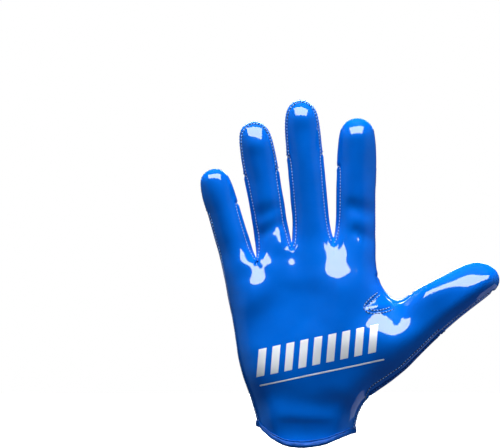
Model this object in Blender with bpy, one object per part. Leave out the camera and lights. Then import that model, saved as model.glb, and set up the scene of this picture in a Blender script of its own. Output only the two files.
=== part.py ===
"""A receiver's glove for the right hand, filled out as worn, as separate sewn panels.

Metres. +Z runs up the fingers, -Y comes out of the palm and +X points to the thumb.
The origin is the centre of the wrist opening, at the height of the palm's hem.
"""
import math
from collections import namedtuple

import bpy
import bmesh
import numpy as np
from mathutils.bvhtree import BVHTree

# Hand
KNUCKLE_BREADTH = 0.0991
KNUCKLE_HEIGHT = 0.1350
PALM_THICKNESS = 0.0290
FINGER_THICKNESS = 0.0225
FINGER_CURL = 0.0045
THUMB_LENGTH = 0.0900
THUMB_THICKNESS = 0.0230
CROTCH_DEPTH = 0.0150

# Leather
WALL = 0.0012
SEAM_GAP = 0.0003
FOLD_HEIGHT = 0.0016

# Cuff binding
BINDING_HEIGHT = 0.0042
BINDING_THICKNESS = 0.0009
BINDING_CLEARANCE = 0.0003
# Shares of its thickness and height where its outer side turns over.
BINDING_LIP = 0.70
BINDING_SHOULDER = 0.75

# Closure strap
STRAP_THICKNESS = 0.0022
STRAP_CLEARANCE = 0.0004
STRAP_WIDTH = 0.0300
STRAP_RIM = 0.6
RIB_COUNT = 8
BORDER_COLUMNS = 2
RIB_HEIGHT = 0.0007

# Angles round a finger: 180 is its little-finger side, 90 its palm side. Seams run
# at the side angle, and the strips between the fingers narrow to the end angle.
SIDE_ANGLE = 24.0
STRIP_END_ANGLE = 9.0
FACE_ANGLE = 70.0
RING_SIZE = 10
# A subdivided ring lies inside its cage by this factor, so cages are made wider.
CAGE_GROWTH = 3.0 / (2.0 + math.cos(2.0 * math.pi / RING_SIZE))

# Each finger's face has two inner columns, at these shares of its breadth.
FACE_COLUMNS = (0.3, 0.7)
# Outer corners of the knuckle row: shares of half a finger's thickness.
KNUCKLE_EDGE_INSET = 0.12
KNUCKLE_EDGE_DEPTH = 0.62
KNUCKLE_LIFT = 0.02
# Half the length of the seam over a tip, as a share of the finger's or thumb's width.
CAP_SHARE = 0.17
THUMB_CAP_SHARE = 0.20
MITRE_LIMIT = 0.5
SHARP_ANGLE = 40.0

# Across is a share of the knuckle breadth, up and the drops of the knuckle height.
Crotch = namedtuple("Crotch", "name across up front_drop back_drop")
CROTCHES = (
    Crotch("little_edge", -0.545, 0.845, 0.000, 0.000),
    Crotch("ring_little", -0.315, 0.885, 0.040, 0.105),
    Crotch("middle_ring", -0.090, 0.975, 0.040, 0.110),
    Crotch("index_middle", 0.180, 0.995, 0.040, 0.110),
    Crotch("thumb_edge", 0.462, 0.960, 0.000, 0.000),
)

# Lean is in degrees towards the little finger, lengths and widths are in metres.
Finger = namedtuple("Finger", "name lean length base_width tip_width")
FINGERS = (
    Finger("little", 17.0, 0.0645, 0.0218, 0.0192),
    Finger("ring", 9.9, 0.0850, 0.0226, 0.0212),
    Finger("middle", 5.2, 0.0905, 0.0242, 0.0212),
    Finger("index", -1.1, 0.0795, 0.0258, 0.0230),
)
FINGER_NAMES = tuple(finger.name for finger in FINGERS)

# Rings of a finger: share of its length, of its tapering width and of its thickness.
# The side strips end after this many rings, and the tip lies past the finger's length.
FingerRing = namedtuple("FingerRing", "along width thickness")
FINGER_RINGS = (
    FingerRing(0.13, 0.98, 0.98),
    FingerRing(0.29, 0.98, 0.94),
    FingerRing(0.45, 1.00, 0.90),
    FingerRing(0.62, 0.99, 0.84),
    FingerRing(0.80, 1.03, 0.77),
    FingerRing(0.96, 0.90, 0.58),
)
STRIP_RINGS = 4
TIP_OVERSHOOT = 1.055

# Rows of the palm from the knuckles to the hem. X is a share of the knuckle breadth,
# z of the knuckle height, depth of half the palm's thickness. Arch lifts the middle.
PalmRow = namedtuple("PalmRow", "little_x little_z thumb_x thumb_z arch front_little "
                                "front_middle front_thumb back")
PALM_ROWS = (
    PalmRow(-0.525, 0.760, 0.455, 0.815, 0.050, 0.95, 0.92, 0.95, 0.95),
    PalmRow(-0.500, 0.665, 0.585, 0.672, 0.060, 1.02, 0.90, 1.05, 1.00),
    PalmRow(-0.470, 0.545, 0.580, 0.565, 0.030, 1.12, 0.88, 1.22, 1.03),
    PalmRow(-0.445, 0.425, 0.510, 0.425, 0.000, 1.20, 0.95, 1.35, 1.08),
    PalmRow(-0.410, 0.315, 0.405, 0.235, -0.010, 1.27, 1.12, 1.40, 1.17),
    PalmRow(-0.368, 0.235, 0.362, 0.180, -0.020, 1.30, 1.28, 1.34, 1.26),
    PalmRow(-0.340, 0.168, 0.338, 0.135, -0.030, 1.32, 1.36, 1.32, 1.30),
    PalmRow(-0.320, 0.100, 0.326, 0.068, 0.000, 1.36, 1.42, 1.36, 1.34),
)
WEB_ROW = 1
HEEL_ROW = 4
HEM_FRONT_DROP = 0.080
HEM_BACK_DROP = 0.000

# The thumb's upper and lower edge, forward offset and thickness at each ring, as
# shares of its length, measured from the middle of its root. The root lies at shares
# of the knuckle breadth and height.
ThumbRing = namedtuple("ThumbRing", "upper_x upper_z lower_x lower_z forward thickness")
THUMB_ROOT_ACROSS = 0.5096
THUMB_ROOT_UP = 0.4630
THUMB_RINGS = (
    ThumbRing(0.225, 0.412, 0.065, -0.220, 0.060, 1.30),
    ThumbRing(0.335, 0.480, 0.240, -0.046, 0.085, 1.18),
    ThumbRing(0.450, 0.552, 0.410, 0.125, 0.105, 1.06),
    ThumbRing(0.566, 0.612, 0.545, 0.242, 0.120, 0.96),
    ThumbRing(0.672, 0.645, 0.680, 0.352, 0.130, 0.84),
    ThumbRing(0.770, 0.615, 0.790, 0.435, 0.135, 0.60),
)
THUMB_TIP = (0.845, 0.512)
THUMB_WRAP_RING = 3

# Soft folds and dents: ends and width as shares of the knuckle height, height of the
# fold height. Side 1 is the palm, -1 the back.
Fold = namedtuple("Fold", "side x0 z0 x1 z1 width height")
FOLDS = (
    Fold(1, 0.26, 1.14, 0.36, 1.16, 0.05, -0.9),
    Fold(1, 0.25, 1.02, 0.38, 1.06, 0.05, -0.8),
    Fold(1, -0.22, 1.13, -0.15, 1.10, 0.05, -0.7),
    Fold(1, -0.20, 1.03, -0.13, 1.00, 0.05, -0.7),
    Fold(1, -0.18, 0.24, 0.12, 0.20, 0.07, -0.9),
    Fold(1, -0.16, 0.13, 0.14, 0.13, 0.06, 0.9),
    Fold(-1, 0.263, 0.374, -0.097, 0.424, 0.045, 1.0),
    Fold(-1, 0.222, 0.307, 0.065, 0.374, 0.035, -1.1),
    Fold(-1, 0.065, 0.374, -0.097, 0.370, 0.035, -1.0),
    Fold(-1, 0.267, 0.248, 0.160, 0.302, 0.035, 1.1),
    Fold(-1, 0.160, 0.302, -0.015, 0.329, 0.035, 1.0),
    Fold(-1, 0.222, 0.248, 0.065, 0.267, 0.030, -1.2),
    Fold(-1, 0.165, 0.207, 0.115, 0.226, 0.030, 0.8),
)

# Upper and lower end of the strap's slanted sections, tip first. Reach is the share of
# the way from its tip to the little-finger edge, up a share of the strap's width from
# the tip. Rows run down a section, and the middle ones are ribbed.
StrapSection = namedtuple("StrapSection", "upper_reach upper_up lower_reach lower_up")
STRAP_SECTIONS = (
    StrapSection(0.000, 0.000, 0.233, -0.283),
    StrapSection(0.119, 0.150, 0.365, -0.310),
    StrapSection(0.257, 0.337, 0.503, -0.277),
    StrapSection(0.357, 0.490, 0.628, -0.237),
    StrapSection(0.441, 0.613, 0.742, -0.197),
    StrapSection(0.539, 0.753, 0.846, -0.137),
    StrapSection(0.664, 0.863, 0.915, -0.087),
    StrapSection(0.790, 0.947, 0.950, -0.020),
)
STRAP_TIP_ACROSS = 0.135
STRAP_TIP_UP = 0.193
STRAP_BOW = 0.050
StrapRow = namedtuple("StrapRow", "down ribbed")
STRAP_ROWS = (StrapRow(0.0, False), StrapRow(0.10, False), StrapRow(0.22, True),
              StrapRow(0.45, True), StrapRow(0.72, True), StrapRow(0.86, False),
              StrapRow(1.0, False))

PANELS = ("palm_panel", "back_panel", "fourchette_ring_little", "fourchette_middle_ring",
          "fourchette_index_middle", "index_tip_wrap", "little_tip_wrap",
          "thumb_tip_wrap", "thumb_back_panel", "thumb_web_gusset")
STRIPS = ("fourchette_ring_little", "fourchette_middle_ring", "fourchette_index_middle")

# Colour and roughness of each kind of surface.
Finish = namedtuple("Finish", "color roughness")
GRIP_FILM = Finish((0.010, 0.120, 0.620), 0.22)
BACK_LEATHER = Finish((0.008, 0.085, 0.420), 0.55)
BINDING_CLOTH = Finish((0.010, 0.070, 0.330), 0.70)
STRAP_MOULDING = Finish((0.008, 0.130, 0.480), 0.45)


def clear_scene():
    for item in list(bpy.data.objects):
        bpy.data.objects.remove(item, do_unlink=True)


def mix(a, b, share):
    return a + (b - a) * share


def make_material(name, finish):
    material = bpy.data.materials.new(name)
    material.use_nodes = True
    shader = material.node_tree.nodes["Principled BSDF"]
    shader.inputs["Base Color"].default_value = (*finish.color, 1.0)
    shader.inputs["Roughness"].default_value = finish.roughness
    material.diffuse_color = (*finish.color, 1.0)
    return material


def ring_angles(side):
    """Angles of the ten points of a ring, the little-finger side first."""
    face = FACE_ANGLE
    return (180.0, 180.0 - side, 180.0 - face, face, side,
            0.0, -side, -face, face - 180.0, side - 180.0)


class Cage:
    """Quads of the whole hand, each with the number of the panel it belongs to."""

    def __init__(self):
        self.points = []
        self.faces = []
        self.panels = []

    def point(self, x, y, z):
        self.points.append((x, y, z))
        return len(self.points) - 1

    def face(self, corners, panel):
        self.faces.append(corners)
        self.panels.append(PANELS.index(panel))

    def band(self, lower, upper, panel_of):
        """Quads between two closed rings with as many points."""
        count = len(lower)
        for i in range(count):
            j = (i + 1) % count
            panel = panel_of(i)
            if panel:
                self.face((lower[i], lower[j], upper[j], upper[i]), panel)

    def ring(self, centre, across, depth, side_angle=SIDE_ANGLE):
        """Ten points round a finger. Across is the half width as a vector in XZ."""
        ring = []
        for angle in ring_angles(side_angle):
            turn = math.radians(angle)
            side = math.cos(turn) * CAGE_GROWTH
            rise = math.sin(turn) * CAGE_GROWTH
            ring.append(self.point(centre[0] + across[0] * side,
                                   centre[1] - depth * rise,
                                   centre[2] + across[2] * side))
        return ring

    def cap(self, ring, front_panel, back_panel, tip, across):
        """Closes a finger with six quads, three to each side of the seam over its tip."""
        left = self.point(*(np.array(tip) - across))
        right = self.point(*(np.array(tip) + across))
        side_0, front_a, front_b, front_c, front_d = ring[0:5]
        side_1, back_a, back_b, back_c, back_d = ring[5:10]
        self.face((side_0, front_a, front_b, left), front_panel)
        self.face((left, front_b, front_c, right), front_panel)
        self.face((right, front_c, front_d, side_1), front_panel)
        self.face((side_1, back_a, back_b, right), back_panel)
        self.face((right, back_b, back_c, left), back_panel)
        self.face((left, back_c, back_d, side_0), back_panel)


def column_shares():
    """Share of the breadth of the 15 columns on one face, little-finger edge first."""
    edges = [crotch.across for crotch in CROTCHES]
    width = edges[-1] - edges[0]
    shares = [0.0]
    for left, right in zip(edges, edges[1:]):
        for step in (0.0, *FACE_COLUMNS):
            shares.append((mix(left, right, step) - edges[0]) / width)
    shares.extend((1.0, 1.0))
    return shares


def face_depth(row, share, front):
    half = PALM_THICKNESS / 2.0
    if not front:
        return row.back * half
    if share < 0.5:
        return mix(row.front_little, row.front_middle, share * 2.0) * half
    return mix(row.front_middle, row.front_thumb, share * 2.0 - 1.0) * half


def row_point(cage, row, column, share, front, drop, open_edge):
    """One point of a palm row. Its edges are rounded with the depth as their radius,
    but not the open edge that the thumb grows from."""
    depth = face_depth(row, share, front)
    left = row.little_x * KNUCKLE_BREADTH
    right = row.thumb_x * KNUCKLE_BREADTH
    side_inset = depth * (1.0 - math.cos(math.radians(SIDE_ANGLE)))
    x = mix(left, right, share)
    if column == 1:
        x = left + side_inset
    if column == len(SHARES) - 2:
        x = right - side_inset
    inset = x - left if open_edge else min(x - left, right - x)
    reach = min(1.0, max(0.0, inset / depth))
    rise = depth * math.sqrt(1.0 - (1.0 - reach) ** 2)
    lift = 1.0 - (2.0 * share - 1.0) ** 2
    z = mix(row.little_z, row.thumb_z, share) + (row.arch - drop) * lift
    return cage.point(x, -rise if front else rise, z * KNUCKLE_HEIGHT)


SHARES = column_shares()


def palm_loop(cage, index):
    """A closed row: little-finger edge, front to the thumb edge, and the back."""
    row = PALM_ROWS[index]
    top = len(SHARES) - 1
    hem = index == len(PALM_ROWS) - 1
    open_edge = WEB_ROW < index < HEEL_ROW
    front_drop = HEM_FRONT_DROP if hem else 0.0
    back_drop = HEM_BACK_DROP if hem else 0.0
    loop = [row_point(cage, row, 0, 0.0, True, 0.0, False)]
    for column in range(1, top):
        share = SHARES[column]
        loop.append(row_point(cage, row, column, share, True, front_drop, open_edge))
    loop.append(row_point(cage, row, top, 1.0, True, 0.0, False))
    for column in range(top - 1, 0, -1):
        share = SHARES[column]
        loop.append(row_point(cage, row, column, share, False, back_drop, open_edge))
    return loop


def knuckle_points(cage):
    """The three points of each crotch and edge, and two face points of each finger."""
    half = FINGER_THICKNESS / 2.0
    spots = []
    for crotch in CROTCHES:
        x = crotch.across * KNUCKLE_BREADTH
        edge = crotch.name.endswith("edge")
        inset = KNUCKLE_EDGE_INSET * half if edge else 0.0
        inward = -math.copysign(inset, x)
        depth = KNUCKLE_EDGE_DEPTH * half if edge else CROTCH_DEPTH / 2.0
        z = crotch.up * KNUCKLE_HEIGHT
        front_z = z - crotch.front_drop * KNUCKLE_HEIGHT
        back_z = z - crotch.back_drop * KNUCKLE_HEIGHT
        front = cage.point(x + inward, -depth, front_z)
        middle = cage.point(x, 0.0, z)
        back = cage.point(x + inward, depth, back_z)
        spots.append((front, middle, back))
    return spots


def face_pair(cage, left, right, y, lift):
    """Two points of a finger's face between the crotches at its two sides."""
    pair = []
    for share in FACE_COLUMNS:
        a = np.array(cage.points[left])
        b = np.array(cage.points[right])
        spot = mix(a, b, share)
        pair.append(cage.point(spot[0], y, spot[2] + lift))
    return pair


def finger_panel(name, ring, sector):
    """The panel that one quad of a finger belongs to."""
    place = FINGER_NAMES.index(name)
    tip = ring >= STRIP_RINGS
    wrapped = name in ("index", "little")
    if sector in (1, 2, 3):
        return "palm_panel"
    if sector in (6, 7, 8):
        return name + "_tip_wrap" if tip and wrapped else "back_panel"
    thumb_side = sector in (4, 5)
    strip = place if thumb_side else place - 1
    if 0 <= strip < len(STRIPS):
        if not tip:
            return STRIPS[strip]
        if wrapped or sector in (0, 4):
            return "palm_panel"
        return "back_panel"
    if name == "index" or sector == 0:
        return "palm_panel"
    return name + "_tip_wrap" if tip else "back_panel"


def add_finger(cage, place, base_ring, base):
    finger = FINGERS[place]
    lean = math.radians(finger.lean)
    along = np.array((-math.sin(lean), 0.0, math.cos(lean)))
    across = np.array((math.cos(lean), 0.0, math.sin(lean)))
    half = FINGER_THICKNESS / 2.0
    below = base_ring
    for index, ring in enumerate(FINGER_RINGS):
        centre = base + along * finger.length * ring.along
        centre[1] = -FINGER_CURL * ring.along ** 2
        width = mix(finger.base_width, finger.tip_width, ring.along) * ring.width
        depth = half * ring.thickness * finger.base_width / FINGERS[2].base_width
        side_angle = STRIP_END_ANGLE if index + 1 == STRIP_RINGS else SIDE_ANGLE
        above = cage.ring(centre, across * width / 2.0, depth, side_angle)
        cage.band(below, above, lambda sector: finger_panel(finger.name, index, sector))
        below = above
    tip = base + along * finger.length * TIP_OVERSHOOT
    tip[1] = -FINGER_CURL
    back = finger_panel(finger.name, len(FINGER_RINGS), 7)
    cage.cap(below, "palm_panel", back, tip, across * finger.tip_width * CAP_SHARE)


def thumb_panel(ring, sector):
    if ring == 0 and sector in (0, 9):
        return "thumb_web_gusset"
    if sector in (9, 0, 1, 2, 3):
        return "palm_panel"
    return "thumb_tip_wrap" if ring >= THUMB_WRAP_RING else "thumb_back_panel"


def add_thumb(cage, root_ring):
    """The root ring starts at the web and runs down the palm side."""
    root = np.array((THUMB_ROOT_ACROSS * KNUCKLE_BREADTH, 0.0,
                     THUMB_ROOT_UP * KNUCKLE_HEIGHT))
    below = root_ring
    forward = 0.0
    for index, ring in enumerate(THUMB_RINGS):
        upper = root + np.array((ring.upper_x, 0.0, ring.upper_z)) * THUMB_LENGTH
        lower = root + np.array((ring.lower_x, 0.0, ring.lower_z)) * THUMB_LENGTH
        forward = -ring.forward * THUMB_LENGTH
        centre = (upper + lower) / 2.0
        centre[1] = forward
        depth = THUMB_THICKNESS / 2.0 * ring.thickness
        ten = cage.ring(centre, (lower - upper) / 2.0, depth)
        cage.band(below, ten, lambda sector: thumb_panel(index, sector))
        below = ten
    tip = root + np.array((THUMB_TIP[0], 0.0, THUMB_TIP[1])) * THUMB_LENGTH
    tip[1] = forward
    last = THUMB_RINGS[-1]
    span = np.array((last.lower_x - last.upper_x, 0.0, last.lower_z - last.upper_z))
    half = span * THUMB_LENGTH * THUMB_CAP_SHARE
    cage.cap(below, "palm_panel", "thumb_tip_wrap", tip, half)


def palm_panel_name(row, sector):
    """The panel of a quad between two palm rows, or none inside the thumb's root."""
    top = len(SHARES) - 1
    if sector < top - 1:
        return "palm_panel"
    if sector > top:
        return "back_panel"
    if WEB_ROW < row <= HEEL_ROW:
        return None
    if row == WEB_ROW:
        return "thumb_web_gusset"
    if row < WEB_ROW:
        return "palm_panel"
    return "palm_panel" if sector == top - 1 else "back_panel"


def build_cage():
    cage = Cage()
    spots = knuckle_points(cage)
    half = FINGER_THICKNESS / 2.0
    lift = KNUCKLE_LIFT * KNUCKLE_HEIGHT
    fronts = [spots[0][0]]
    backs = []
    bases = []
    for left, right in zip(spots, spots[1:]):
        front = face_pair(cage, left[0], right[0], -half, lift)
        back = face_pair(cage, right[2], left[2], half, lift)
        bases.append([left[1], left[0], *front, right[0],
                      right[1], right[2], *back, left[2]])
        fronts.extend((*front, right[0]))
        backs.append((right[2], *back))
    knuckles = [spots[0][1], *fronts, spots[-1][1]]
    for group in reversed(backs):
        knuckles.extend(group)
    knuckles.append(spots[0][2])
    for place, base_ring in enumerate(bases):
        left = np.array(cage.points[spots[place][1]])
        right = np.array(cage.points[spots[place + 1][1]])
        add_finger(cage, place, base_ring, (left + right) / 2.0)
    loops = [knuckles]
    for index in range(len(PALM_ROWS)):
        loops.append(palm_loop(cage, index))
        cage.band(loops[-2], loops[-1], lambda sector: palm_panel_name(index, sector))
    top = len(SHARES) - 1
    rows = loops[WEB_ROW + 1:HEEL_ROW + 2]
    web = rows[0][top]
    heel = rows[-1][top]
    front_chain = [loop[top - 1] for loop in rows]
    back_chain = [loop[top + 1] for loop in reversed(rows)]
    add_thumb(cage, [web, *front_chain, heel, *back_chain])
    return cage


def smooth_hand(cage, levels):
    """The cage subdivided: points, faces, the panel of each face, all facing out."""
    mesh = bpy.data.meshes.new("hand_cage")
    mesh.from_pydata(cage.points, [], cage.faces)
    for polygon, panel in zip(mesh.polygons, cage.panels):
        polygon.material_index = panel
    shell = bmesh.new()
    shell.from_mesh(mesh)
    loose = [vertex for vertex in shell.verts if not vertex.link_faces]
    bmesh.ops.delete(shell, geom=loose, context="VERTS")
    bmesh.ops.recalc_face_normals(shell, faces=shell.faces)
    shell.to_mesh(mesh)
    shell.free()
    hand = bpy.data.objects.new("hand_cage", mesh)
    bpy.context.scene.collection.objects.link(hand)
    smooth = hand.modifiers.new("smooth", "SUBSURF")
    smooth.levels = levels
    smooth.render_levels = levels
    bpy.context.view_layer.update()
    fine = hand.evaluated_get(bpy.context.evaluated_depsgraph_get()).to_mesh()
    points = np.array([tuple(vertex.co) for vertex in fine.vertices])
    faces = [tuple(polygon.vertices) for polygon in fine.polygons]
    panels = [polygon.material_index for polygon in fine.polygons]
    bpy.data.objects.remove(hand, do_unlink=True)
    bpy.data.meshes.remove(mesh)
    return points, faces, panels


def face_normals(points, faces):
    corners = points[np.array(faces)]
    normals = np.cross(corners[:, 2] - corners[:, 0], corners[:, 3] - corners[:, 1])
    return normals / np.linalg.norm(normals, axis=1)[:, None]


def point_normals(points, faces):
    corners = np.array(faces)
    crosses = np.cross(points[corners[:, 2]] - points[corners[:, 0]],
                       points[corners[:, 3]] - points[corners[:, 1]])
    normals = np.zeros_like(points)
    for corner in range(4):
        np.add.at(normals, corners[:, corner], crosses)
    return normals / np.linalg.norm(normals, axis=1)[:, None]


def add_folds(points, faces):
    """Moves the surface along its normal near each fold line of its side."""
    normals = point_normals(points, faces)
    moved = points.copy()
    for fold in FOLDS:
        start = np.array((fold.x0, fold.z0)) * KNUCKLE_HEIGHT
        end = np.array((fold.x1, fold.z1)) * KNUCKLE_HEIGHT
        run = end - start
        spots = points[:, (0, 2)]
        share = np.clip((spots - start) @ run / (run @ run), 0.0, 1.0)
        away = np.linalg.norm(spots - start - share[:, None] * run, axis=1)
        facing = np.clip(-fold.side * normals[:, 1], 0.0, 1.0)
        rise = np.exp(-(away / (fold.width * KNUCKLE_HEIGHT)) ** 2) * facing
        moved += normals * (rise * fold.height * FOLD_HEIGHT)[:, None]
    return moved


def pulled_in(points, faces, normals):
    """Moves a panel's border half a seam gap into the panel, square to its edges."""
    owners = {}
    for number, face in enumerate(faces):
        for a, b in zip(face, face[1:] + face[:1]):
            owners.setdefault((min(a, b), max(a, b)), []).append((a, b, number))
    inward = {}
    for uses in owners.values():
        if len(uses) > 1:
            continue
        a, b, number = uses[0]
        edge = points[b] - points[a]
        aim = np.cross(normals[number], edge)
        aim /= np.linalg.norm(aim)
        inward.setdefault(a, []).append(aim)
        inward.setdefault(b, []).append(aim)
    shifts = {}
    for vertex, aims in inward.items():
        total = sum(aims)
        opening = 1.0 + min(float(aims[0] @ aims[-1]), 1.0)
        shifts[vertex] = total / max(opening, MITRE_LIMIT) * SEAM_GAP / 2.0
    return shifts


def add_object(name, mesh, finish):
    mesh.materials.append(make_material(name, finish))
    mesh.shade_smooth()
    mesh.set_sharp_from_angle(angle=math.radians(SHARP_ANGLE))
    item = bpy.data.objects.new(name, mesh)
    bpy.context.scene.collection.objects.link(item)
    return item


def rim_pair(a, b, count):
    """Two triangles over the wall's edge, cut the same way in both panels of a seam."""
    if a < b:
        return (b, a, b + count), (a, a + count, b + count)
    return (b, a, a + count), (b, a + count, b + count)


def make_panel(name, finish, points, inner, faces, normals):
    """A wall of leather between the outer surface and the inner one."""
    shifts = pulled_in(points, faces, normals)
    used = sorted({vertex for face in faces for vertex in face})
    place = {vertex: index for index, vertex in enumerate(used)}
    still = np.zeros(3)
    outer_points = [points[v] + shifts.get(v, still) for v in used]
    inner_points = [inner[v] + shifts.get(v, still) for v in used]
    count = len(used)
    walls = [tuple(place[v] for v in face) for face in faces]
    linings = [tuple(place[v] + count for v in reversed(face)) for face in faces]
    edges = [pair for face in walls for pair in zip(face, face[1:] + face[:1])]
    seen = set(edges)
    rims = []
    for a, b in edges:
        if (b, a) not in seen:
            rims.extend(rim_pair(a, b, count))
    mesh = bpy.data.meshes.new(name)
    mesh.from_pydata(outer_points + inner_points, [], walls + linings + rims)
    return add_object(name, mesh, finish)


PANEL_FINISH = {"back_panel": BACK_LEATHER, "thumb_back_panel": BACK_LEATHER}


def make_panels(points, faces, panels):
    normals = point_normals(points, faces)
    flat = face_normals(points, faces)
    inner = points - normals * WALL
    for number, name in enumerate(PANELS):
        own = [index for index, panel in enumerate(panels) if panel == number]
        finish = PANEL_FINISH.get(name, GRIP_FILM)
        make_panel(name, finish, points, inner, [faces[i] for i in own], flat[own])


def hem_loop(faces):
    """The points of the open wrist edge in order, and the point above each."""
    after = {}
    edges = set()
    for face in faces:
        edges.update(zip(face, face[1:] + face[:1]))
    for a, b in edges:
        if (b, a) not in edges:
            after[b] = a
    loop = [min(after)]
    while after[loop[-1]] != loop[0]:
        loop.append(after[loop[-1]])
    above = {}
    for a, b in edges:
        if a in after and b not in after:
            above[a] = b
    return loop, [above[vertex] for vertex in loop]


def binding_profile():
    """Out from the wall and up from the hem, round the wall's edge and back."""
    near = BINDING_CLEARANCE
    far = near + BINDING_THICKNESS
    inside = -WALL - near
    bottom = -BINDING_CLEARANCE
    top = BINDING_HEIGHT - BINDING_THICKNESS
    lip = BINDING_THICKNESS * BINDING_LIP
    shoulder = top * BINDING_SHOULDER
    return ((near, top), (near + lip, top), (far, shoulder), (far, bottom),
            (-WALL / 2.0, bottom - BINDING_THICKNESS),
            (inside - BINDING_THICKNESS, bottom), (inside - lip, top), (inside, top),
            (inside, bottom), (near, bottom))


def make_binding(points, faces):
    normals = point_normals(points, faces)
    loop, above = hem_loop(faces)
    profile = binding_profile()
    size = len(profile)
    spots = []
    for vertex, upper in zip(loop, above):
        rise = points[upper] - points[vertex]
        rise /= np.linalg.norm(rise)
        out = normals[vertex] - rise * (normals[vertex] @ rise)
        out /= np.linalg.norm(out)
        spots.extend(points[vertex] + out * x + rise * z for x, z in profile)
    quads = []
    for ring in range(len(loop)):
        here = ring * size
        there = (ring + 1) % len(loop) * size
        for step in range(size):
            turn = (step + 1) % size
            quads.append((here + step, here + turn, there + turn, there + step))
    mesh = bpy.data.meshes.new("cuff_binding")
    mesh.from_pydata(spots, [], quads)
    face_out(mesh)
    return add_object("cuff_binding", mesh, BINDING_CLOTH)


def face_out(mesh):
    shell = bmesh.new()
    shell.from_mesh(mesh)
    bmesh.ops.recalc_face_normals(shell, faces=shell.faces)
    shell.to_mesh(mesh)
    shell.free()


def strap_end(reach, up):
    """A point of the strap's outline in XZ, measured from its tip."""
    z = STRAP_TIP_UP * KNUCKLE_HEIGHT + up * STRAP_WIDTH
    rows = PALM_ROWS[::-1]
    heights = [row.little_z * KNUCKLE_HEIGHT for row in rows]
    edges = [row.little_x * KNUCKLE_BREADTH for row in rows]
    edge = float(np.interp(z, heights, edges))
    return mix(STRAP_TIP_ACROSS * KNUCKLE_BREADTH, edge, reach), z


def strap_spot(along, down):
    """A point of the strap in XZ: along from its tip, down across its width."""
    place = along * (len(STRAP_SECTIONS) - 1)
    first = min(int(place), len(STRAP_SECTIONS) - 2)
    here = STRAP_SECTIONS[first]
    there = STRAP_SECTIONS[first + 1]
    section = StrapSection(*(mix(a, b, place - first) for a, b in zip(here, there)))
    upper = strap_end(section.upper_reach, section.upper_up)
    lower = strap_end(section.lower_reach, section.lower_up)
    bow = STRAP_BOW * STRAP_WIDTH * math.sin(math.pi * down)
    return mix(upper[0], lower[0], down) - bow, mix(upper[1], lower[1], down) - bow


def make_strap(points, faces):
    tree = BVHTree.FromPolygons([tuple(point) for point in points], faces)
    columns = 2 * (RIB_COUNT + BORDER_COLUMNS)
    start = 2.0 * PALM_THICKNESS
    rows = len(STRAP_ROWS)
    under = []
    over = []
    for column in range(columns + 1):
        for row, (down, ribbed) in enumerate(STRAP_ROWS):
            x, z = strap_spot(column / columns, down)
            hit, normal, _, _ = tree.ray_cast((x, start, z), (0.0, -1.0, 0.0))
            hit = np.array(hit)
            out = np.array(normal)
            rim = column in (0, columns) or row in (0, rows - 1)
            inner = BORDER_COLUMNS <= column <= columns - BORDER_COLUMNS
            rib = RIB_HEIGHT if ribbed and inner and column % 2 else 0.0
            thick = STRAP_THICKNESS * STRAP_RIM if rim else STRAP_THICKNESS
            under.append(hit + out * STRAP_CLEARANCE)
            over.append(hit + out * (STRAP_CLEARANCE + thick + rib))
    count = len(under)
    quads = []
    for column in range(columns):
        for row in range(rows - 1):
            a = column * rows + row
            b = a + rows
            quads.append((a, b, b + 1, a + 1))
            quads.append((a + count, a + 1 + count, b + 1 + count, b + count))
    edge = [column * rows for column in range(columns + 1)]
    edge += [columns * rows + row for row in range(1, rows)]
    edge += [column * rows + rows - 1 for column in range(columns - 1, -1, -1)]
    edge += list(range(rows - 2, 0, -1))
    for a, b in zip(edge, edge[1:] + edge[:1]):
        quads.append((b, a, a + count, b + count))
    mesh = bpy.data.meshes.new("closure_strap")
    mesh.from_pydata(under + over, [], quads)
    face_out(mesh)
    return add_object("closure_strap", mesh, STRAP_MOULDING)


def main():
    clear_scene()
    points, faces, panels = smooth_hand(build_cage(), 1)
    points = add_folds(points, faces)
    make_panels(points, faces, panels)
    make_binding(points, faces)
    make_strap(points, faces)


main()
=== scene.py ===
"""The looks of a right-hand receiver glove: sewn panels of glossy grip film and soft
perforated leather, with seams, stitches, a bound cuff and a moulded wrist strap.

Metres. +Z runs up the fingers, -Y comes out of the palm and +X points to the thumb.
"""

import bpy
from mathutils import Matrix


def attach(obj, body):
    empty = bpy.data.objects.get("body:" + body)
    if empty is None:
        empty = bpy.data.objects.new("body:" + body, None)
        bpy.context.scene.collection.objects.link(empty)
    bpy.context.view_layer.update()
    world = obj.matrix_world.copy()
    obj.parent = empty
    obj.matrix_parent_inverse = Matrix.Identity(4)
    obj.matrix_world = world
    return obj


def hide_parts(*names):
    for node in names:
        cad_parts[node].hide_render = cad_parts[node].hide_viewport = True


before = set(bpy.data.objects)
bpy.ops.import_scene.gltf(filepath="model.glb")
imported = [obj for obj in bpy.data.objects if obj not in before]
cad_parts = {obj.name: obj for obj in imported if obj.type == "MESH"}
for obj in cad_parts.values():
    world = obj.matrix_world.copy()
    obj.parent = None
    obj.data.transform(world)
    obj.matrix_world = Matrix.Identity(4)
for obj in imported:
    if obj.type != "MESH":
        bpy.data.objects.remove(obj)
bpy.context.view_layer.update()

import math
from collections import namedtuple

import bpy
import bmesh
import numpy as np
from mathutils import Vector, noise
from mathutils.bvhtree import BVHTree
from mathutils.kdtree import KDTree


def table(name, fields, *rows):
    """Rows of values that are read by the names of their fields."""
    kind = namedtuple(name, fields)
    return [kind(*row) for row in rows]


# Hand
KNUCKLE_BREADTH = 0.0991
KNUCKLE_HEIGHT = 0.1350
PALM_THICKNESS = 0.0290
FINGER_THICKNESS = 0.0225
FINGER_CURL = 0.0045
THUMB_LENGTH = 0.0900
THUMB_THICKNESS = 0.0230
CROTCH_DEPTH = 0.0150

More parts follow.
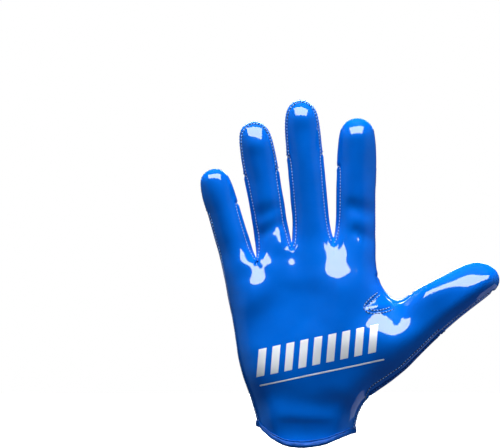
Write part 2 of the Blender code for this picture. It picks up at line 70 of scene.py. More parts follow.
# Leather. Borders draw back by half the seam gap, mitred up to a limit at corners.
# Neighbouring faces at more than the sharp angle, in degrees, show an edge.
WALL = 0.0012
SEAM_GAP = 0.00008
MITRE_LIMIT = 0.5
FOLD_HEIGHT = 0.0016
SHARP_ANGLE = 50.0

# Angles round a finger: 180 is its little-finger side, 90 its palm side. Seams run
# at the side angle, and the strips between the fingers narrow to the end angle.
SIDE_ANGLE = 24.0
STRIP_END_ANGLE = 9.0
FACE_ANGLE = 70.0
RING_SIZE = 10
# A subdivided ring lies inside its cage by this factor, so cages are made wider.
CAGE_GROWTH = 3.0 / (2.0 + math.cos(2.0 * math.pi / RING_SIZE))

# Quads round a finger, numbered from its little-finger side, the thumb's from the
# web: front, back, far side, near side, and the front halves of both sides.
FRONT_SECTORS = (1, 2, 3)
BACK_SECTORS = (6, 7, 8)
FAR_SECTORS = (4, 5)
NEAR_SECTORS = (9, 0)
HALF_FRONT_SECTORS = (0, 4)

# Each finger's face has two inner columns, at these shares of its breadth.
FACE_COLUMNS = (0.3, 0.7)
# Outer corners of the knuckle row: shares of half a finger's thickness.
KNUCKLE_EDGE_INSET = 0.12
KNUCKLE_EDGE_DEPTH = 0.62
KNUCKLE_LIFT = 0.02
# Half the length of the seam over a tip, as a share of the finger's or thumb's width.
CAP_SHARE = 0.17
THUMB_CAP_SHARE = 0.20

# Across is a share of the knuckle breadth, up and the drops of the knuckle height.
CROTCHES = table(
    "Crotch", "name across up front_drop back_drop",
    ("little_edge", -0.545, 0.845, 0.000, 0.000),
    ("ring_little", -0.315, 0.885, 0.040, 0.105),
    ("middle_ring", -0.090, 0.975, 0.040, 0.110),
    ("index_middle", 0.180, 0.995, 0.040, 0.110),
    ("thumb_edge", 0.462, 0.960, 0.000, 0.000),
)

# Lean is in degrees towards the little finger, lengths and widths are in metres.
FINGERS = table(
    "Finger", "name lean length base_width tip_width",
    ("little", 17.0, 0.0645, 0.0218, 0.0192),
    ("ring", 9.9, 0.0850, 0.0226, 0.0212),
    ("middle", 5.2, 0.0905, 0.0242, 0.0212),
    ("index", -1.1, 0.0795, 0.0258, 0.0230),
)
FINGER_NAMES = tuple(finger.name for finger in FINGERS)

# Rings of a finger: share of its length, of its tapering width and of its thickness.
# The side strips end after this many rings, and the tip lies past the finger's length.
FINGER_RINGS = table(
    "FingerRing", "along width thickness",
    (0.13, 0.98, 0.98),
    (0.29, 0.98, 0.94),
    (0.45, 1.00, 0.90),
    (0.62, 0.99, 0.84),
    (0.80, 1.03, 0.77),
    (0.96, 0.90, 0.58),
)
STRIP_RINGS = 4
TIP_OVERSHOOT = 1.055

# Rows of the palm from the knuckles to the hem. X is a share of the knuckle breadth,
# z of the knuckle height, depth of half the palm's thickness. Arch lifts the middle.
PALM_ROWS = table(
    "PalmRow",
    "little_x little_z thumb_x thumb_z arch front_little front_middle front_thumb back",
    (-0.525, 0.760, 0.455, 0.815, 0.050, 0.95, 0.92, 0.95, 0.95),
    (-0.500, 0.665, 0.585, 0.672, 0.060, 1.02, 0.90, 1.05, 1.00),
    (-0.470, 0.545, 0.580, 0.565, 0.030, 1.12, 0.88, 1.22, 1.03),
    (-0.445, 0.425, 0.510, 0.425, 0.000, 1.20, 0.95, 1.35, 1.08),
    (-0.410, 0.315, 0.405, 0.235, -0.010, 1.27, 1.12, 1.40, 1.17),
    (-0.368, 0.235, 0.362, 0.180, -0.020, 1.30, 1.28, 1.34, 1.26),
    (-0.340, 0.168, 0.338, 0.135, -0.030, 1.32, 1.36, 1.32, 1.30),
    (-0.320, 0.100, 0.326, 0.068, 0.000, 1.36, 1.42, 1.36, 1.34),
)
WEB_ROW = 1
HEEL_ROW = 4
HEM_FRONT_DROP = 0.080
# The front hem is lowest towards the little finger: under 1 moves it that way.
HEM_SKEW = 0.70

# The thumb's upper and lower edge, forward offset and thickness at each ring, as
# shares of its length, measured from the middle of its root. The root lies at shares
# of the knuckle breadth and height.
THUMB_ROOT_ACROSS = 0.5096
THUMB_ROOT_UP = 0.4630
THUMB_RINGS = table(
    "ThumbRing", "upper_x upper_z lower_x lower_z forward thickness",
    (0.225, 0.412, 0.065, -0.220, 0.060, 1.30),
    (0.335, 0.480, 0.240, -0.046, 0.085, 1.18),
    (0.450, 0.552, 0.410, 0.125, 0.105, 1.06),
    (0.566, 0.612, 0.545, 0.242, 0.120, 0.96),
    (0.672, 0.645, 0.680, 0.352, 0.130, 0.84),
    (0.770, 0.615, 0.790, 0.435, 0.135, 0.60),
)
THUMB_TIP = (0.845, 0.512)
THUMB_WRAP_RING = 3

# Soft folds, and dents where the height is negative: ends and width as shares of the
# knuckle height, height of the fold height. Side 1 is the palm, -1 the back.
FOLDS = table(
    "Fold", "side x0 z0 x1 z1 width height",
    (1, 0.225, 1.150, 0.300, 1.130, 0.040, -0.8),
    (1, 0.240, 1.030, 0.335, 0.990, 0.034, -0.65),
    (1, -0.217, 1.115, -0.145, 1.141, 0.036, -0.6),
    (1, -0.213, 1.017, -0.128, 1.072, 0.034, -0.8),
    (1, 0.348, 0.732, 0.289, 0.674, 0.018, -0.5),
    (1, 0.292, 0.662, 0.385, 0.679, 0.014, 0.35),
    (1, -0.18, 0.24, 0.12, 0.20, 0.07, -0.9),
    (1, -0.16, 0.13, 0.14, 0.13, 0.06, 0.9),
    (-1, 0.263, 0.374, -0.097, 0.424, 0.045, 1.0),
    (-1, 0.222, 0.307, 0.065, 0.374, 0.035, -1.1),
    (-1, 0.065, 0.374, -0.097, 0.370, 0.035, -1.0),
    (-1, 0.267, 0.248, 0.160, 0.302, 0.035, 1.1),
    (-1, 0.160, 0.302, -0.015, 0.329, 0.035, 1.0),
    (-1, 0.222, 0.248, 0.065, 0.267, 0.030, -1.2),
    (-1, 0.165, 0.207, 0.115, 0.226, 0.030, 0.8),
)

# Oval swellings of the filled glove, and hollows where the height is negative. Places
# and sizes are shares of the knuckle height, the tilt is in degrees, and the height
# is a share of the fold height.
PADS = table(
    "Pad", "side x z length width tilt height",
    (1, 0.170, 0.695, 0.250, 0.115, 80.0, 3.6),
    (1, -0.235, 0.735, 0.110, 0.070, 70.0, 2.0),
    (1, -0.128, 0.975, 0.050, 0.022, 62.0, 0.3),
    (1, -0.248, 0.878, 0.065, 0.050, 0.0, 1.9),
    (1, -0.078, 0.945, 0.040, 0.035, 0.0, 0.6),
    (1, 0.575, 0.745, 0.140, 0.068, 28.0, 4.2),
    (1, 0.325, 0.525, 0.190, 0.100, 10.0, 1.6),
    (1, 0.800, 0.735, 0.230, 0.050, 36.0, 1.8),
    (1, -0.240, 1.455, 0.070, 0.045, 0.0, 0.5),
    (1, -0.026, 1.580, 0.065, 0.040, 0.0, 0.4),
    (1, 0.241, 1.493, 0.065, 0.040, 0.0, 0.4),
    (1, -0.020, 0.440, 0.420, 0.200, 0.0, 2.7),
    (1, 0.000, 0.080, 0.400, 0.140, 0.0, -3.6),
    (1, -0.030, 0.220, 0.170, 0.060, 0.0, 0.30),
    (1, -0.010, 0.130, 0.170, 0.060, 0.0, -0.40),
)

# Curved creases: each follows its points and fades towards its ends. Width and points
# are shares of the knuckle height, the height is a share of the fold height.
CREASES = table(
    "Crease", "side width height points",
    (-1, 0.019, 0.9, ((0.262, 0.250), (0.215, 0.340), (0.120, 0.397),
                      (-0.020, 0.424), (-0.150, 0.412))),
    (-1, 0.018, -1.2, ((0.245, 0.255), (0.195, 0.303), (0.065, 0.370),
                       (-0.040, 0.382), (-0.120, 0.372))),
    (-1, 0.017, 1.0, ((0.262, 0.240), (0.160, 0.302), (0.070, 0.326),
                      (-0.030, 0.330))),
    (-1, 0.015, -1.0, ((0.245, 0.226), (0.150, 0.257), (0.030, 0.272))),
    (-1, 0.014, 0.8, ((0.230, 0.198), (0.160, 0.220), (0.100, 0.228))),
    (-1, 0.020, 0.5, ((0.480, 0.640), (0.520, 0.560), (0.500, 0.480))),
)
CREASE_FADE = 0.0080

# Unevenness of the film, and the dip at a seam with the swelling beside it
WAVES = table("Wave", "length height", (0.022, 0.00035), (0.011, 0.00020))
SEAM_DIP = 0.00042
SEAM_DIP_WIDTH = 0.0011
SEAM_SWELL = 0.00020
SEAM_SWELL_AWAY = 2.2 * SEAM_DIP_WIDTH
SEAM_REACH = 4.0 * SEAM_DIP_WIDTH
FINE_LEVELS = 4
COARSE_LEVELS = 3

# Plain marks where the real glove has its print: slanted bars over a thin line. The
# slant is a share of a bar's height, and marks sink a little so that no edge floats.
Mark = namedtuple("Mark", "x z width height slant tilt rise rounding")
MarkRow = namedtuple("MarkRow", "x z tilt count pitch bar height gap line rise rounding")
PALM_PRINT = MarkRow(0.0070, 0.0625, 12.0, 9, 0.0092, 0.0058, 0.0180, 0.0055, 0.0014,
                     0.00011, 0.0001)
BACK_RELIEF = MarkRow(0.0040, 0.0960, 3.0, 8, 0.0066, 0.0038, 0.0120, 0.0046, 0.0016,
                      0.00085, 0.0012)
MARK_SLANT = 0.30
MARK_CELL = 0.0006
MARK_SINK = 0.00006

PANELS = ("palm_panel", "back_panel", "fourchette_ring_little", "fourchette_middle_ring",
          "fourchette_index_middle", "index_tip_wrap", "little_tip_wrap",
          "thumb_tip_wrap", "thumb_back_panel", "thumb_web_gusset")
STRIPS = PANELS[2:5]
TIP_WRAPS = PANELS[5:8]
LEATHER_PANELS = ("back_panel", "thumb_back_panel")

# Cuff binding
BINDING_HEIGHT = 0.0042
BINDING_THICKNESS = 0.0009
BINDING_CLEARANCE = 0.0003
BINDING_STEPS = 8
# Down the outer side: share of the way, and share of the thickness there.
BINDING_ROLLS = ((0.0, 0.30), (0.05, 0.60), (0.15, 0.78), (0.25, 0.60), (0.30, 0.35),
                 (0.36, 0.70), (0.48, 0.95), (0.65, 1.05), (0.85, 1.05), (1.0, 1.0))
PUCKER_LENGTH = 0.0030
PUCKER_HEIGHT = 0.00035

# Closure strap
STRAP_THICKNESS = 0.0022
STRAP_CLEARANCE = 0.0004
STRAP_WIDTH = 0.0300
STRAP_RIM = 0.45
STRAP_REACH = 0.0420
STRAP_ROUNDING = 0.0012
STRAP_BORDER = 0.0026
STRAP_FADE = 0.0009
STRAP_BEAD = 0.00035
STRAP_BEAD_IN = 0.0016
STRAP_BEAD_WIDTH = 0.0006
RIB_HEIGHT = 0.0014
RIB_DIP = 0.0005
RIBS = 9
RIB_POWER = 1.8
STRAP_COLUMNS = 144
STRAP_LINES = 48
# Upper and lower end of the strap's slanted sections, tip first. Reach is the share of
# the way from its tip to the little-finger edge, up a share of the strap's width from
# the tip. Rows run down a section, and the middle ones are ribbed.
STRAP_SECTIONS = table(
    "StrapSection", "upper_reach upper_up lower_reach lower_up",
    (0.000, 0.000, 0.233, -0.283),
    (0.119, 0.150, 0.365, -0.310),
    (0.257, 0.337, 0.503, -0.277),
    (0.357, 0.490, 0.628, -0.237),
    (0.441, 0.613, 0.742, -0.197),
    (0.539, 0.753, 0.846, -0.137),
    (0.664, 0.863, 0.915, -0.087),
    (0.790, 0.947, 0.950, -0.020),
)
STRAP_TIP_ACROSS = 0.135
STRAP_TIP_UP = 0.193
STRAP_BOW = 0.050

# Rows of stitches: beside a seam between two panels, inset into the first one.
STITCH_ROWS = table(
    "StitchRow", "panel beside inset",
    ("palm_panel", STRIPS, 0.00145),
    ("palm_panel", TIP_WRAPS, 0.00150),
    ("palm_panel", LEATHER_PANELS, 0.00420),
    ("back_panel", STRIPS, 0.00130),
    ("back_panel", ("palm_panel",), 0.00140),
    ("back_panel", TIP_WRAPS, 0.00130),
    ("index_tip_wrap", ("back_panel",), 0.00120),
    ("little_tip_wrap", ("back_panel",), 0.00120),
    ("thumb_tip_wrap", ("thumb_back_panel",), 0.00120),
    ("thumb_tip_wrap", ("thumb_back_panel",), 0.00310),
    ("thumb_back_panel", ("palm_panel", "thumb_tip_wrap"), 0.00140),
    ("thumb_back_panel", ("back_panel", "thumb_web_gusset"), 0.00140),
    ("back_panel", ("thumb_back_panel", "thumb_web_gusset"), 0.00150),
    ("back_panel", ("thumb_back_panel", "thumb_web_gusset"), 0.00340),
)

# Stitched lines round the pleat below the web, which follow no panel edge. Points are
# shares of the knuckle height.
PLEAT_LINES = (
    ((0.345, 0.744), (0.303, 0.713), (0.265, 0.669), (0.284, 0.645), (0.323, 0.638),
     (0.380, 0.645), (0.420, 0.662)),
    ((0.356, 0.730), (0.318, 0.701), (0.284, 0.672), (0.298, 0.657), (0.327, 0.652),
     (0.376, 0.660), (0.404, 0.672)),
)

# A stitch is a bar that stands out by a share of its radius. Between two of them lies
# a flattened dark bar, painted shade that stands in for a needle hole. A line is
# smoothed this many times before it is sewn, and one that is shorter than a few
# stitches stays unsewn.
STITCH_PITCH = 0.00200
STITCH_LENGTH = 0.00105
STITCH_RADIUS = 0.00028
STITCH_RISE = 0.4
NEEDLE_SHADE_SIZE = 0.00048
NEEDLE_FLATNESS = 0.35
SMOOTHING = 12
SHORTEST_RUN = 3.0 * STITCH_PITCH
# Rings of a bar: share of its half length, share of its radius.
BAR_RINGS = ((-1.0, 0.45), (-0.65, 1.0), (0.65, 1.0), (1.0, 0.45))
BAR_SIDES = 6

# Lines of holes through the back leather, from one end to the other at an even pitch.
# Ends are shares of the knuckle height.
HOLE_LINES = table(
    "HoleLine", "x0 z0 x1 z1",
    (0.245, 0.895, -0.290, 0.830),
    (0.290, 0.845, 0.320, 0.420),
    (-0.300, 0.760, -0.280, 0.420),
    (0.270, 0.520, -0.260, 0.520),
    (0.270, 0.460, -0.260, 0.464),
    (0.265, 0.395, -0.250, 0.412),
    (0.255, 0.330, -0.245, 0.356),
    (0.235, 0.265, -0.235, 0.300),
    (0.225, 0.205, -0.230, 0.245),
    (0.215, 0.145, -0.225, 0.185),
    (0.205, 0.092, -0.215, 0.110),
    (0.400, 0.560, 0.560, 0.700),
    (0.420, 0.480, 0.600, 0.640),
    (0.400, 0.380, 0.640, 0.590),
    (0.360, 0.290, 0.690, 0.560),
)
# Columns of holes along the back of each finger: place across as a share of its
# width, and shift along it as a share of the pitch.
HOLE_COLUMNS = table(
    "HoleColumn", "finger across shift",
    ("little", -0.17, 0.0), ("little", 0.17, 0.5),
    ("ring", -0.29, 0.0), ("ring", 0.0, 0.0), ("ring", 0.29, 0.0),
    ("middle", -0.27, 0.0), ("middle", 0.0, 0.5), ("middle", 0.27, 0.0),
    ("index", -0.28, 0.0), ("index", 0.0, 0.5), ("index", 0.28, 0.0),
)
# Pitch and start along a finger, room to seams, to other holes and to the strap, then
# the hole's own sizes, and how far round it the leather is opened and sewn up again.
HOLE_PITCH = 0.0076
HOLE_START = -0.011
HOLE_MARGIN = 0.0036
HOLE_ROOM = 0.6 * HOLE_PITCH
STRAP_MARGIN = 0.0015
HOLE_RADIUS = 0.00072
HOLE_LIP = 0.00024
HOLE_DEPTH = 0.00090
HOLE_CLEAR = 0.00115
HOLE_SIDES = 12
# Rings of a hole from its lip down to its floor: radius and depth.
HOLE_RINGS = ((HOLE_RADIUS + HOLE_LIP, 0.0), (HOLE_RADIUS, HOLE_LIP),
              (HOLE_RADIUS * 0.9, HOLE_DEPTH))
# Rays that look for the surface start this far from the middle of the hand.
RAY_START = 0.2

# Materials. The colour lies between bright and deep in patches of a size and a detail,
# the roughness between low and high in grains of a size. Bumps are laid over one
# another: pattern, size, detail and height.
COAT_ROUGHNESS = 0.03
NOISE_RANGE = (0.35, 0.65)
GRAIN_DETAIL = 3.0
FILM_BUMPS = (("Noise", 0.012, 1.0, 0.00006), ("Noise", 0.0012, 2.0, 0.000004))
PLAIN_BUMPS = (("Noise", 0.0005, 3.0, 0.00004),)
PLAIN_SPREAD = 0.05
LOOKS = table(
    "Look", "name bright deep patch detail roughness low high grain specular coat bumps",
    ("grip_film", (0.0, 0.130, 0.660), (0.0, 0.114, 0.600), 0.030, 3.0,
     0.24, 0.24, 0.34, 0.008, 0.02, 1.0, FILM_BUMPS),
    ("wrap_film", (0.0, 0.120, 0.630), (0.0, 0.100, 0.560), 0.030, 3.0,
     0.20, 0.20, 0.30, 0.008, 0.02, 1.0, FILM_BUMPS),
    ("back_leather", (0.0, 0.090, 0.500), (0.0, 0.072, 0.420), 0.006, 5.0,
     0.60, 0.52, 0.68, 0.003, 0.03, 0.0,
     (("Voronoi", 0.0009, 0.0, 0.00006), ("Noise", 0.0024, 4.0, 0.00010),
      ("Noise", 0.009, 2.0, 0.00020))),
    ("binding_cloth", (0.0, 0.080, 0.420), (0.0, 0.062, 0.340), 0.002, 3.0,
     0.50, 0.38, 0.50, 0.002, 0.12, 0.0,
     (("Voronoi", 0.0006, 0.0, 0.00005), ("Noise", 0.0015, 3.0, 0.00008))),
    ("strap_moulding", (0.0, 0.110, 0.500), (0.0, 0.095, 0.440), 0.010, 3.0,
     0.42, 0.36, 0.48, 0.004, 0.08, 0.0,
     (("Noise", 0.0007, 2.0, 0.00003), ("Noise", 0.005, 3.0, 0.00008))),
    ("palm_print_ink", (0.84, 0.86, 0.90), (0.76, 0.79, 0.85), 0.012, 3.0,
     0.30, 0.30, 0.30, 0.012, 0.5, 1.0, FILM_BUMPS[:1]),
    *((name, color, color, 0.002, 3.0,
       rough, rough - PLAIN_SPREAD, rough + PLAIN_SPREAD, 0.002, 0.5, 0.0, PLAIN_BUMPS)
      for name, color, rough in (("hole_shade", (0.0, 0.008, 0.050), 0.8),
                                 ("stitch_thread", (0.260, 0.520, 0.920), 0.5),
                                 # The needle hole colour is painted shade: a dark bead
                                 # stands in for the shadow inside each needle hole.
                                 ("needle_hole", (0.0, 0.012, 0.080), 0.7),
                                 ("back_thread", (0.030, 0.210, 0.700), 0.5))),
)

# Studio. The room glows to both sides and, in the table's colour, from below, over
# ranges of the direction's X and Z.
SENSOR = 36.0
CLIP = (0.1, 50.0)
VIEW_X = -0.0364
VIEW_Z = 0.1443
VIEW_WIDTH = 0.325
VIEW_DISTANCE = 2.75
FLOOR_Z = -0.030
FLOOR_RADIUS = 1.6
FLOOR_CORNERS = 60
FLOOR_COLOR = (0.92, 0.92, 0.92, 1.0)
FLOOR_ROUGHNESS = 0.9
FLOOR_GLOW = 0.75
WHITE = (1.0, 1.0, 1.0, 1.0)
ROOM_COLOR = (0.30, 0.70, 1.0, 1.0)
ROOM_LIGHT = 0.02
SIDE_GLOW = 0.50
SIDE_RANGE = (0.65, 1.0)
TABLE_COLOR = (0.85, 0.90, 1.0, 1.0)
TABLE_GLOW = 0.10
TABLE_RANGE = (-0.30, -0.90)
LAMPS = table(
    "Lamp", "name x y z width height power reflected",
    ("softbox", -0.05, -0.82, 0.86, 1.60, 0.52, 36.0, True),
    ("top_fill", -0.05, -0.43, 1.58, 1.20, 0.80, 64.0, False),
    ("front_fill", -1.10, -1.50, 0.50, 1.40, 1.00, 3.2, False),
    ("edge_fill", 1.10, -0.60, 0.02, 0.80, 1.00, 3.4, False),
    ("low_card", 0.90, 0.32, -0.55, 0.70, 0.50, 0.9, True),
    ("back_softbox", 0.10, 0.89, 0.79, 1.10, 0.60, 26.0, True),
    ("back_top_fill", -0.05, 0.80, 1.40, 1.20, 1.00, 38.0, False),
    ("back_fill", -0.40, 1.80, 0.40, 1.40, 1.00, 9.0, False),
)


def mix(a, b, share):
    return a + (b - a) * share


def unit(rows):
    """Each row of an array at length one."""
    return rows / np.linalg.norm(rows, axis=1)[:, None]


def edge_faces(faces):
    """The number of the face at each directed edge."""
    return {edge: number for number, face in enumerate(faces)
            for edge in zip(face, face[1:] + face[:1])}


def border(faces):
    """Directed edges that no other of the faces shares, each with its face's number."""
    owners = edge_faces(faces)
    return {edge: number for edge, number in owners.items() if edge[::-1] not in owners}


def closed_loop(after):
    """The points of a closed loop in order, from the point that comes after each."""
    loop = [min(after)]
    while after[loop[-1]] != loop[0]:
        loop.append(after[loop[-1]])
    return loop


def tube(first, size, count):
    """Quads along a tube of rings with so many points, numbered ring after ring."""
    return [(a + step, a + (step + 1) % size, a + (step + 1) % size + size,
             a + step + size)
            for a in range(first, first + size * count, size) for step in range(size)]


def grid(first, lines, size):
    """Quads of a grid whose lines of so many points are numbered one after another."""
    return [(a, a + 1, a + size + 1, a + size) for line in range(lines - 1)
            for a in range(first + line * size, first + (line + 1) * size - 1)]


def turned_over(quad):
    """A quad that starts at the same corner and faces the other way."""
    return quad[:1] + quad[:0:-1]


def tree_of(points):
    """A tree that finds the nearest of some points."""
    tree = KDTree(len(points))
    for index, point in enumerate(points):
        tree.insert(point, index)
    tree.balance()
    return tree


def line_distances(spots, start, end):
    """Distance of each spot from the straight piece between two points."""
    run = end - start
    share = np.clip((spots - start) @ run / (run @ run), 0.0, 1.0)
    return np.linalg.norm(spots - start - share[:, None] * run, axis=1)


def face_out(mesh):
    """Drops the points that no face uses and turns all faces outwards."""
    shell = bmesh.new()
    shell.from_mesh(mesh)
    loose = [vertex for vertex in shell.verts if not vertex.link_faces]
    bmesh.ops.delete(shell, geom=loose, context="VERTS")
    bmesh.ops.recalc_face_normals(shell, faces=shell.faces)
    shell.to_mesh(mesh)
    shell.free()


def new_mesh(name, spots, faces, tints=None):
    """A mesh, with a material number for each face where they are given."""
    mesh = bpy.data.meshes.new(name)
    mesh.from_pydata([tuple(spot) for spot in spots], [], faces)
    if tints:
        mesh.polygons.foreach_set("material_index", tints)
    return mesh


def closed_mesh(name, spots, faces, tints=None):
    """A mesh without open edges, all its faces outwards."""
    mesh = new_mesh(name, spots, faces, tints)
    face_out(mesh)
    return mesh


def add_object(name, data):
    item = bpy.data.objects.new(name, data)
    bpy.context.scene.collection.objects.link(item)
    return item


def ring_angles(side):
    """Angles of the ten points of a ring, the little-finger side first."""
    face = FACE_ANGLE
    return (180.0, 180.0 - side, 180.0 - face, face, side,
            0.0, -side, -face, face - 180.0, side - 180.0)


class Cage:
    """Quads of the whole hand, each with the number of the panel it belongs to."""

    def __init__(self):
        self.points = []
        self.faces = []
        self.panels = []

    def point(self, x, y, z):
        self.points.append((x, y, z))
        return len(self.points) - 1

    def face(self, corners, panel):
        self.faces.append(corners)
        self.panels.append(PANELS.index(panel))

    def band(self, lower, upper, panel_of):
        """Quads between two closed rings with as many points."""
        count = len(lower)
        for i in range(count):
            j = (i + 1) % count
            panel = panel_of(i)
            if panel:
                self.face((lower[i], lower[j], upper[j], upper[i]), panel)

    def ring(self, centre, across, depth, side_angle=SIDE_ANGLE):
        """Ten points round a finger. Across is the half width as a vector in XZ."""
        ring = []
        for angle in ring_angles(side_angle):
            turn = math.radians(angle)
            side = math.cos(turn) * CAGE_GROWTH
            rise = math.sin(turn) * CAGE_GROWTH
            ring.append(self.point(centre[0] + across[0] * side,
                                   centre[1] - depth * rise,
                                   centre[2] + across[2] * side))
        return ring

    def cap(self, ring, front_panel, back_panel, tip, across):
        """Closes a finger with six quads, three to each side of the seam over its tip."""
        left = self.point(*(np.array(tip) - across))
        right = self.point(*(np.array(tip) + across))
        for half, near, far, panel in ((ring[:6], left, right, front_panel),
                                       (ring[5:] + ring[:1], right, left, back_panel)):
            self.face((*half[:3], near), panel)
            self.face((near, half[2], half[3], far), panel)
            self.face((far, *half[3:]), panel)


def column_shares():
    """Share of the breadth of the 15 columns on one face, little-finger edge first."""
    edges = [crotch.across for crotch in CROTCHES]
    width = edges[-1] - edges[0]
    shares = [0.0]
    for left, right in zip(edges, edges[1:]):
        for step in (0.0, *FACE_COLUMNS):
            shares.append((mix(left, right, step) - edges[0]) / width)
    shares.extend((1.0, 1.0))
    return shares


def face_depth(row, share, front):
    half = PALM_THICKNESS / 2.0
    if not front:
        return row.back * half
    if share < 0.5:
        return mix(row.front_little, row.front_middle, share * 2.0) * half
    return mix(row.front_middle, row.front_thumb, share * 2.0 - 1.0) * half


SHARES = column_shares()
LAST_COLUMN = len(SHARES) - 1


def row_point(cage, row, column, front, drop, open_edge):
    """One point of a palm row. Its edges are rounded with the depth as their radius,
    but not the open edge that the thumb grows from."""
    share = SHARES[column]
    depth = face_depth(row, share, front)
    left = row.little_x * KNUCKLE_BREADTH
    right = row.thumb_x * KNUCKLE_BREADTH
    side_inset = depth * (1.0 - math.cos(math.radians(SIDE_ANGLE)))
    x = mix(left, right, share)
    if column == 1:
        x = left + side_inset
    if column == LAST_COLUMN - 1:
        x = right - side_inset
    one_sided = open_edge and column < LAST_COLUMN
    inset = x - left if one_sided else min(x - left, right - x)
    reach = min(1.0, max(0.0, inset / depth))
    rise = depth * math.sqrt(1.0 - (1.0 - reach) ** 2)
    lift = 1.0 - (2.0 * share - 1.0) ** 2
    low = 1.0 - (2.0 * share ** HEM_SKEW - 1.0) ** 2
    z = mix(row.little_z, row.thumb_z, share) + row.arch * lift - drop * low
    return cage.point(x, -rise if front else rise, z * KNUCKLE_HEIGHT)


def palm_loop(cage, index):
    """A closed row: little-finger edge, front to the thumb edge, and the back."""
    row = PALM_ROWS[index]
    drop = HEM_FRONT_DROP if row is PALM_ROWS[-1] else 0.0
    open_edge = WEB_ROW < index < HEEL_ROW
    fronts = [row_point(cage, row, column, True, drop, open_edge)
              for column in range(LAST_COLUMN + 1)]
    return fronts + [row_point(cage, row, column, False, 0.0, open_edge)
                     for column in range(LAST_COLUMN - 1, 0, -1)]


def knuckle_points(cage):
    """The three points of each crotch and edge, and two face points of each finger."""
    half = FINGER_THICKNESS / 2.0
    spots = []
    for crotch in CROTCHES:
        x = crotch.across * KNUCKLE_BREADTH
        edge = crotch.name.endswith("edge")
        inset = KNUCKLE_EDGE_INSET * half if edge else 0.0
        inward = -math.copysign(inset, x)
        depth = KNUCKLE_EDGE_DEPTH * half if edge else CROTCH_DEPTH / 2.0
        z = crotch.up * KNUCKLE_HEIGHT
        front_z = z - crotch.front_drop * KNUCKLE_HEIGHT
        back_z = z - crotch.back_drop * KNUCKLE_HEIGHT
        front = cage.point(x + inward, -depth, front_z)
        middle = cage.point(x, 0.0, z)
        back = cage.point(x + inward, depth, back_z)
        spots.append((front, middle, back))
    return spots


def face_pair(cage, left, right, y, lift):
    """Two points of a finger's face between the crotches at its two sides."""
    pair = []
    for share in FACE_COLUMNS:
        a = np.array(cage.points[left])
        b = np.array(cage.points[right])
        spot = mix(a, b, share)
        pair.append(cage.point(spot[0], y, spot[2] + lift))
    return pair


def finger_panel(name, ring, sector):
    """The panel that one quad of a finger belongs to."""
    place = FINGER_NAMES.index(name)
    tip = ring >= STRIP_RINGS
    wrapped = name in ("index", "little")
    if sector in FRONT_SECTORS:
        return "palm_panel"
    if sector in BACK_SECTORS:
        return name + "_tip_wrap" if tip and wrapped else "back_panel"
    strip = place if sector in FAR_SECTORS else place - 1
    if 0 <= strip < len(STRIPS):
        if not tip:
            return STRIPS[strip]
        if wrapped or sector in HALF_FRONT_SECTORS:
            return "palm_panel"
        return "back_panel"
    if name == "index" or sector == 0:
        return "palm_panel"
    return name + "_tip_wrap" if tip else "back_panel"


def finger_axes(place):
    """Base of a finger, and its directions along and across."""
    left, right = CROTCHES[place:place + 2]
    lean = math.radians(FINGERS[place].lean)
    base = np.array(((left.across + right.across) / 2.0 * KNUCKLE_BREADTH, 0.0,
                     (left.up + right.up) / 2.0 * KNUCKLE_HEIGHT))
    along = np.array((-math.sin(lean), 0.0, math.cos(lean)))
    return base, along, np.array((math.cos(lean), 0.0, math.sin(lean)))


def add_finger(cage, place, base_ring):
    """Rings from the knuckles to the tip, with the seam over the tip at their end."""
    finger = FINGERS[place]
    base, along, across = finger_axes(place)
    half = FINGER_THICKNESS / 2.0
    below = base_ring
    for index, ring in enumerate(FINGER_RINGS):
        centre = base + along * finger.length * ring.along
        centre[1] = -FINGER_CURL * ring.along ** 2
        width = mix(finger.base_width, finger.tip_width, ring.along) * ring.width
        depth = half * ring.thickness * finger.base_width / FINGERS[2].base_width
        side_angle = STRIP_END_ANGLE if index + 1 == STRIP_RINGS else SIDE_ANGLE
        above = cage.ring(centre, across * width / 2.0, depth, side_angle)
        cage.band(below, above, lambda sector: finger_panel(finger.name, index, sector))
        below = above
    tip = base + along * finger.length * TIP_OVERSHOOT
    tip[1] = -FINGER_CURL
    back = finger_panel(finger.name, len(FINGER_RINGS), BACK_SECTORS[0])
    cage.cap(below, "palm_panel", back, tip, across * finger.tip_width * CAP_SHARE)


def thumb_panel(ring, sector):
    if ring == 0 and sector in NEAR_SECTORS:
        return "thumb_web_gusset"
    if sector in NEAR_SECTORS + FRONT_SECTORS:
        return "palm_panel"
    return "thumb_tip_wrap" if ring >= THUMB_WRAP_RING else "thumb_back_panel"


def add_thumb(cage, root_ring):
    """The root ring starts at the web and runs down the palm side."""
    root = np.array((THUMB_ROOT_ACROSS * KNUCKLE_BREADTH, 0.0,
                     THUMB_ROOT_UP * KNUCKLE_HEIGHT))
    below = root_ring
    forward = 0.0
    for index, ring in enumerate(THUMB_RINGS):
        upper, lower = (root + np.array((x, 0.0, z)) * THUMB_LENGTH for x, z in
                        ((ring.upper_x, ring.upper_z), (ring.lower_x, ring.lower_z)))
        forward = -ring.forward * THUMB_LENGTH
        centre = (upper + lower) / 2.0
        centre[1] = forward
        depth = THUMB_THICKNESS / 2.0 * ring.thickness
        ten = cage.ring(centre, (lower - upper) / 2.0, depth)
        cage.band(below, ten, lambda sector: thumb_panel(index, sector))
        below = ten
    tip = root + np.array((THUMB_TIP[0], 0.0, THUMB_TIP[1])) * THUMB_LENGTH
    tip[1] = forward
    last = THUMB_RINGS[-1]
    span = np.array((last.lower_x - last.upper_x, 0.0, last.lower_z - last.upper_z))
    half = span * THUMB_LENGTH * THUMB_CAP_SHARE
    cage.cap(below, "palm_panel", "thumb_tip_wrap", tip, half)


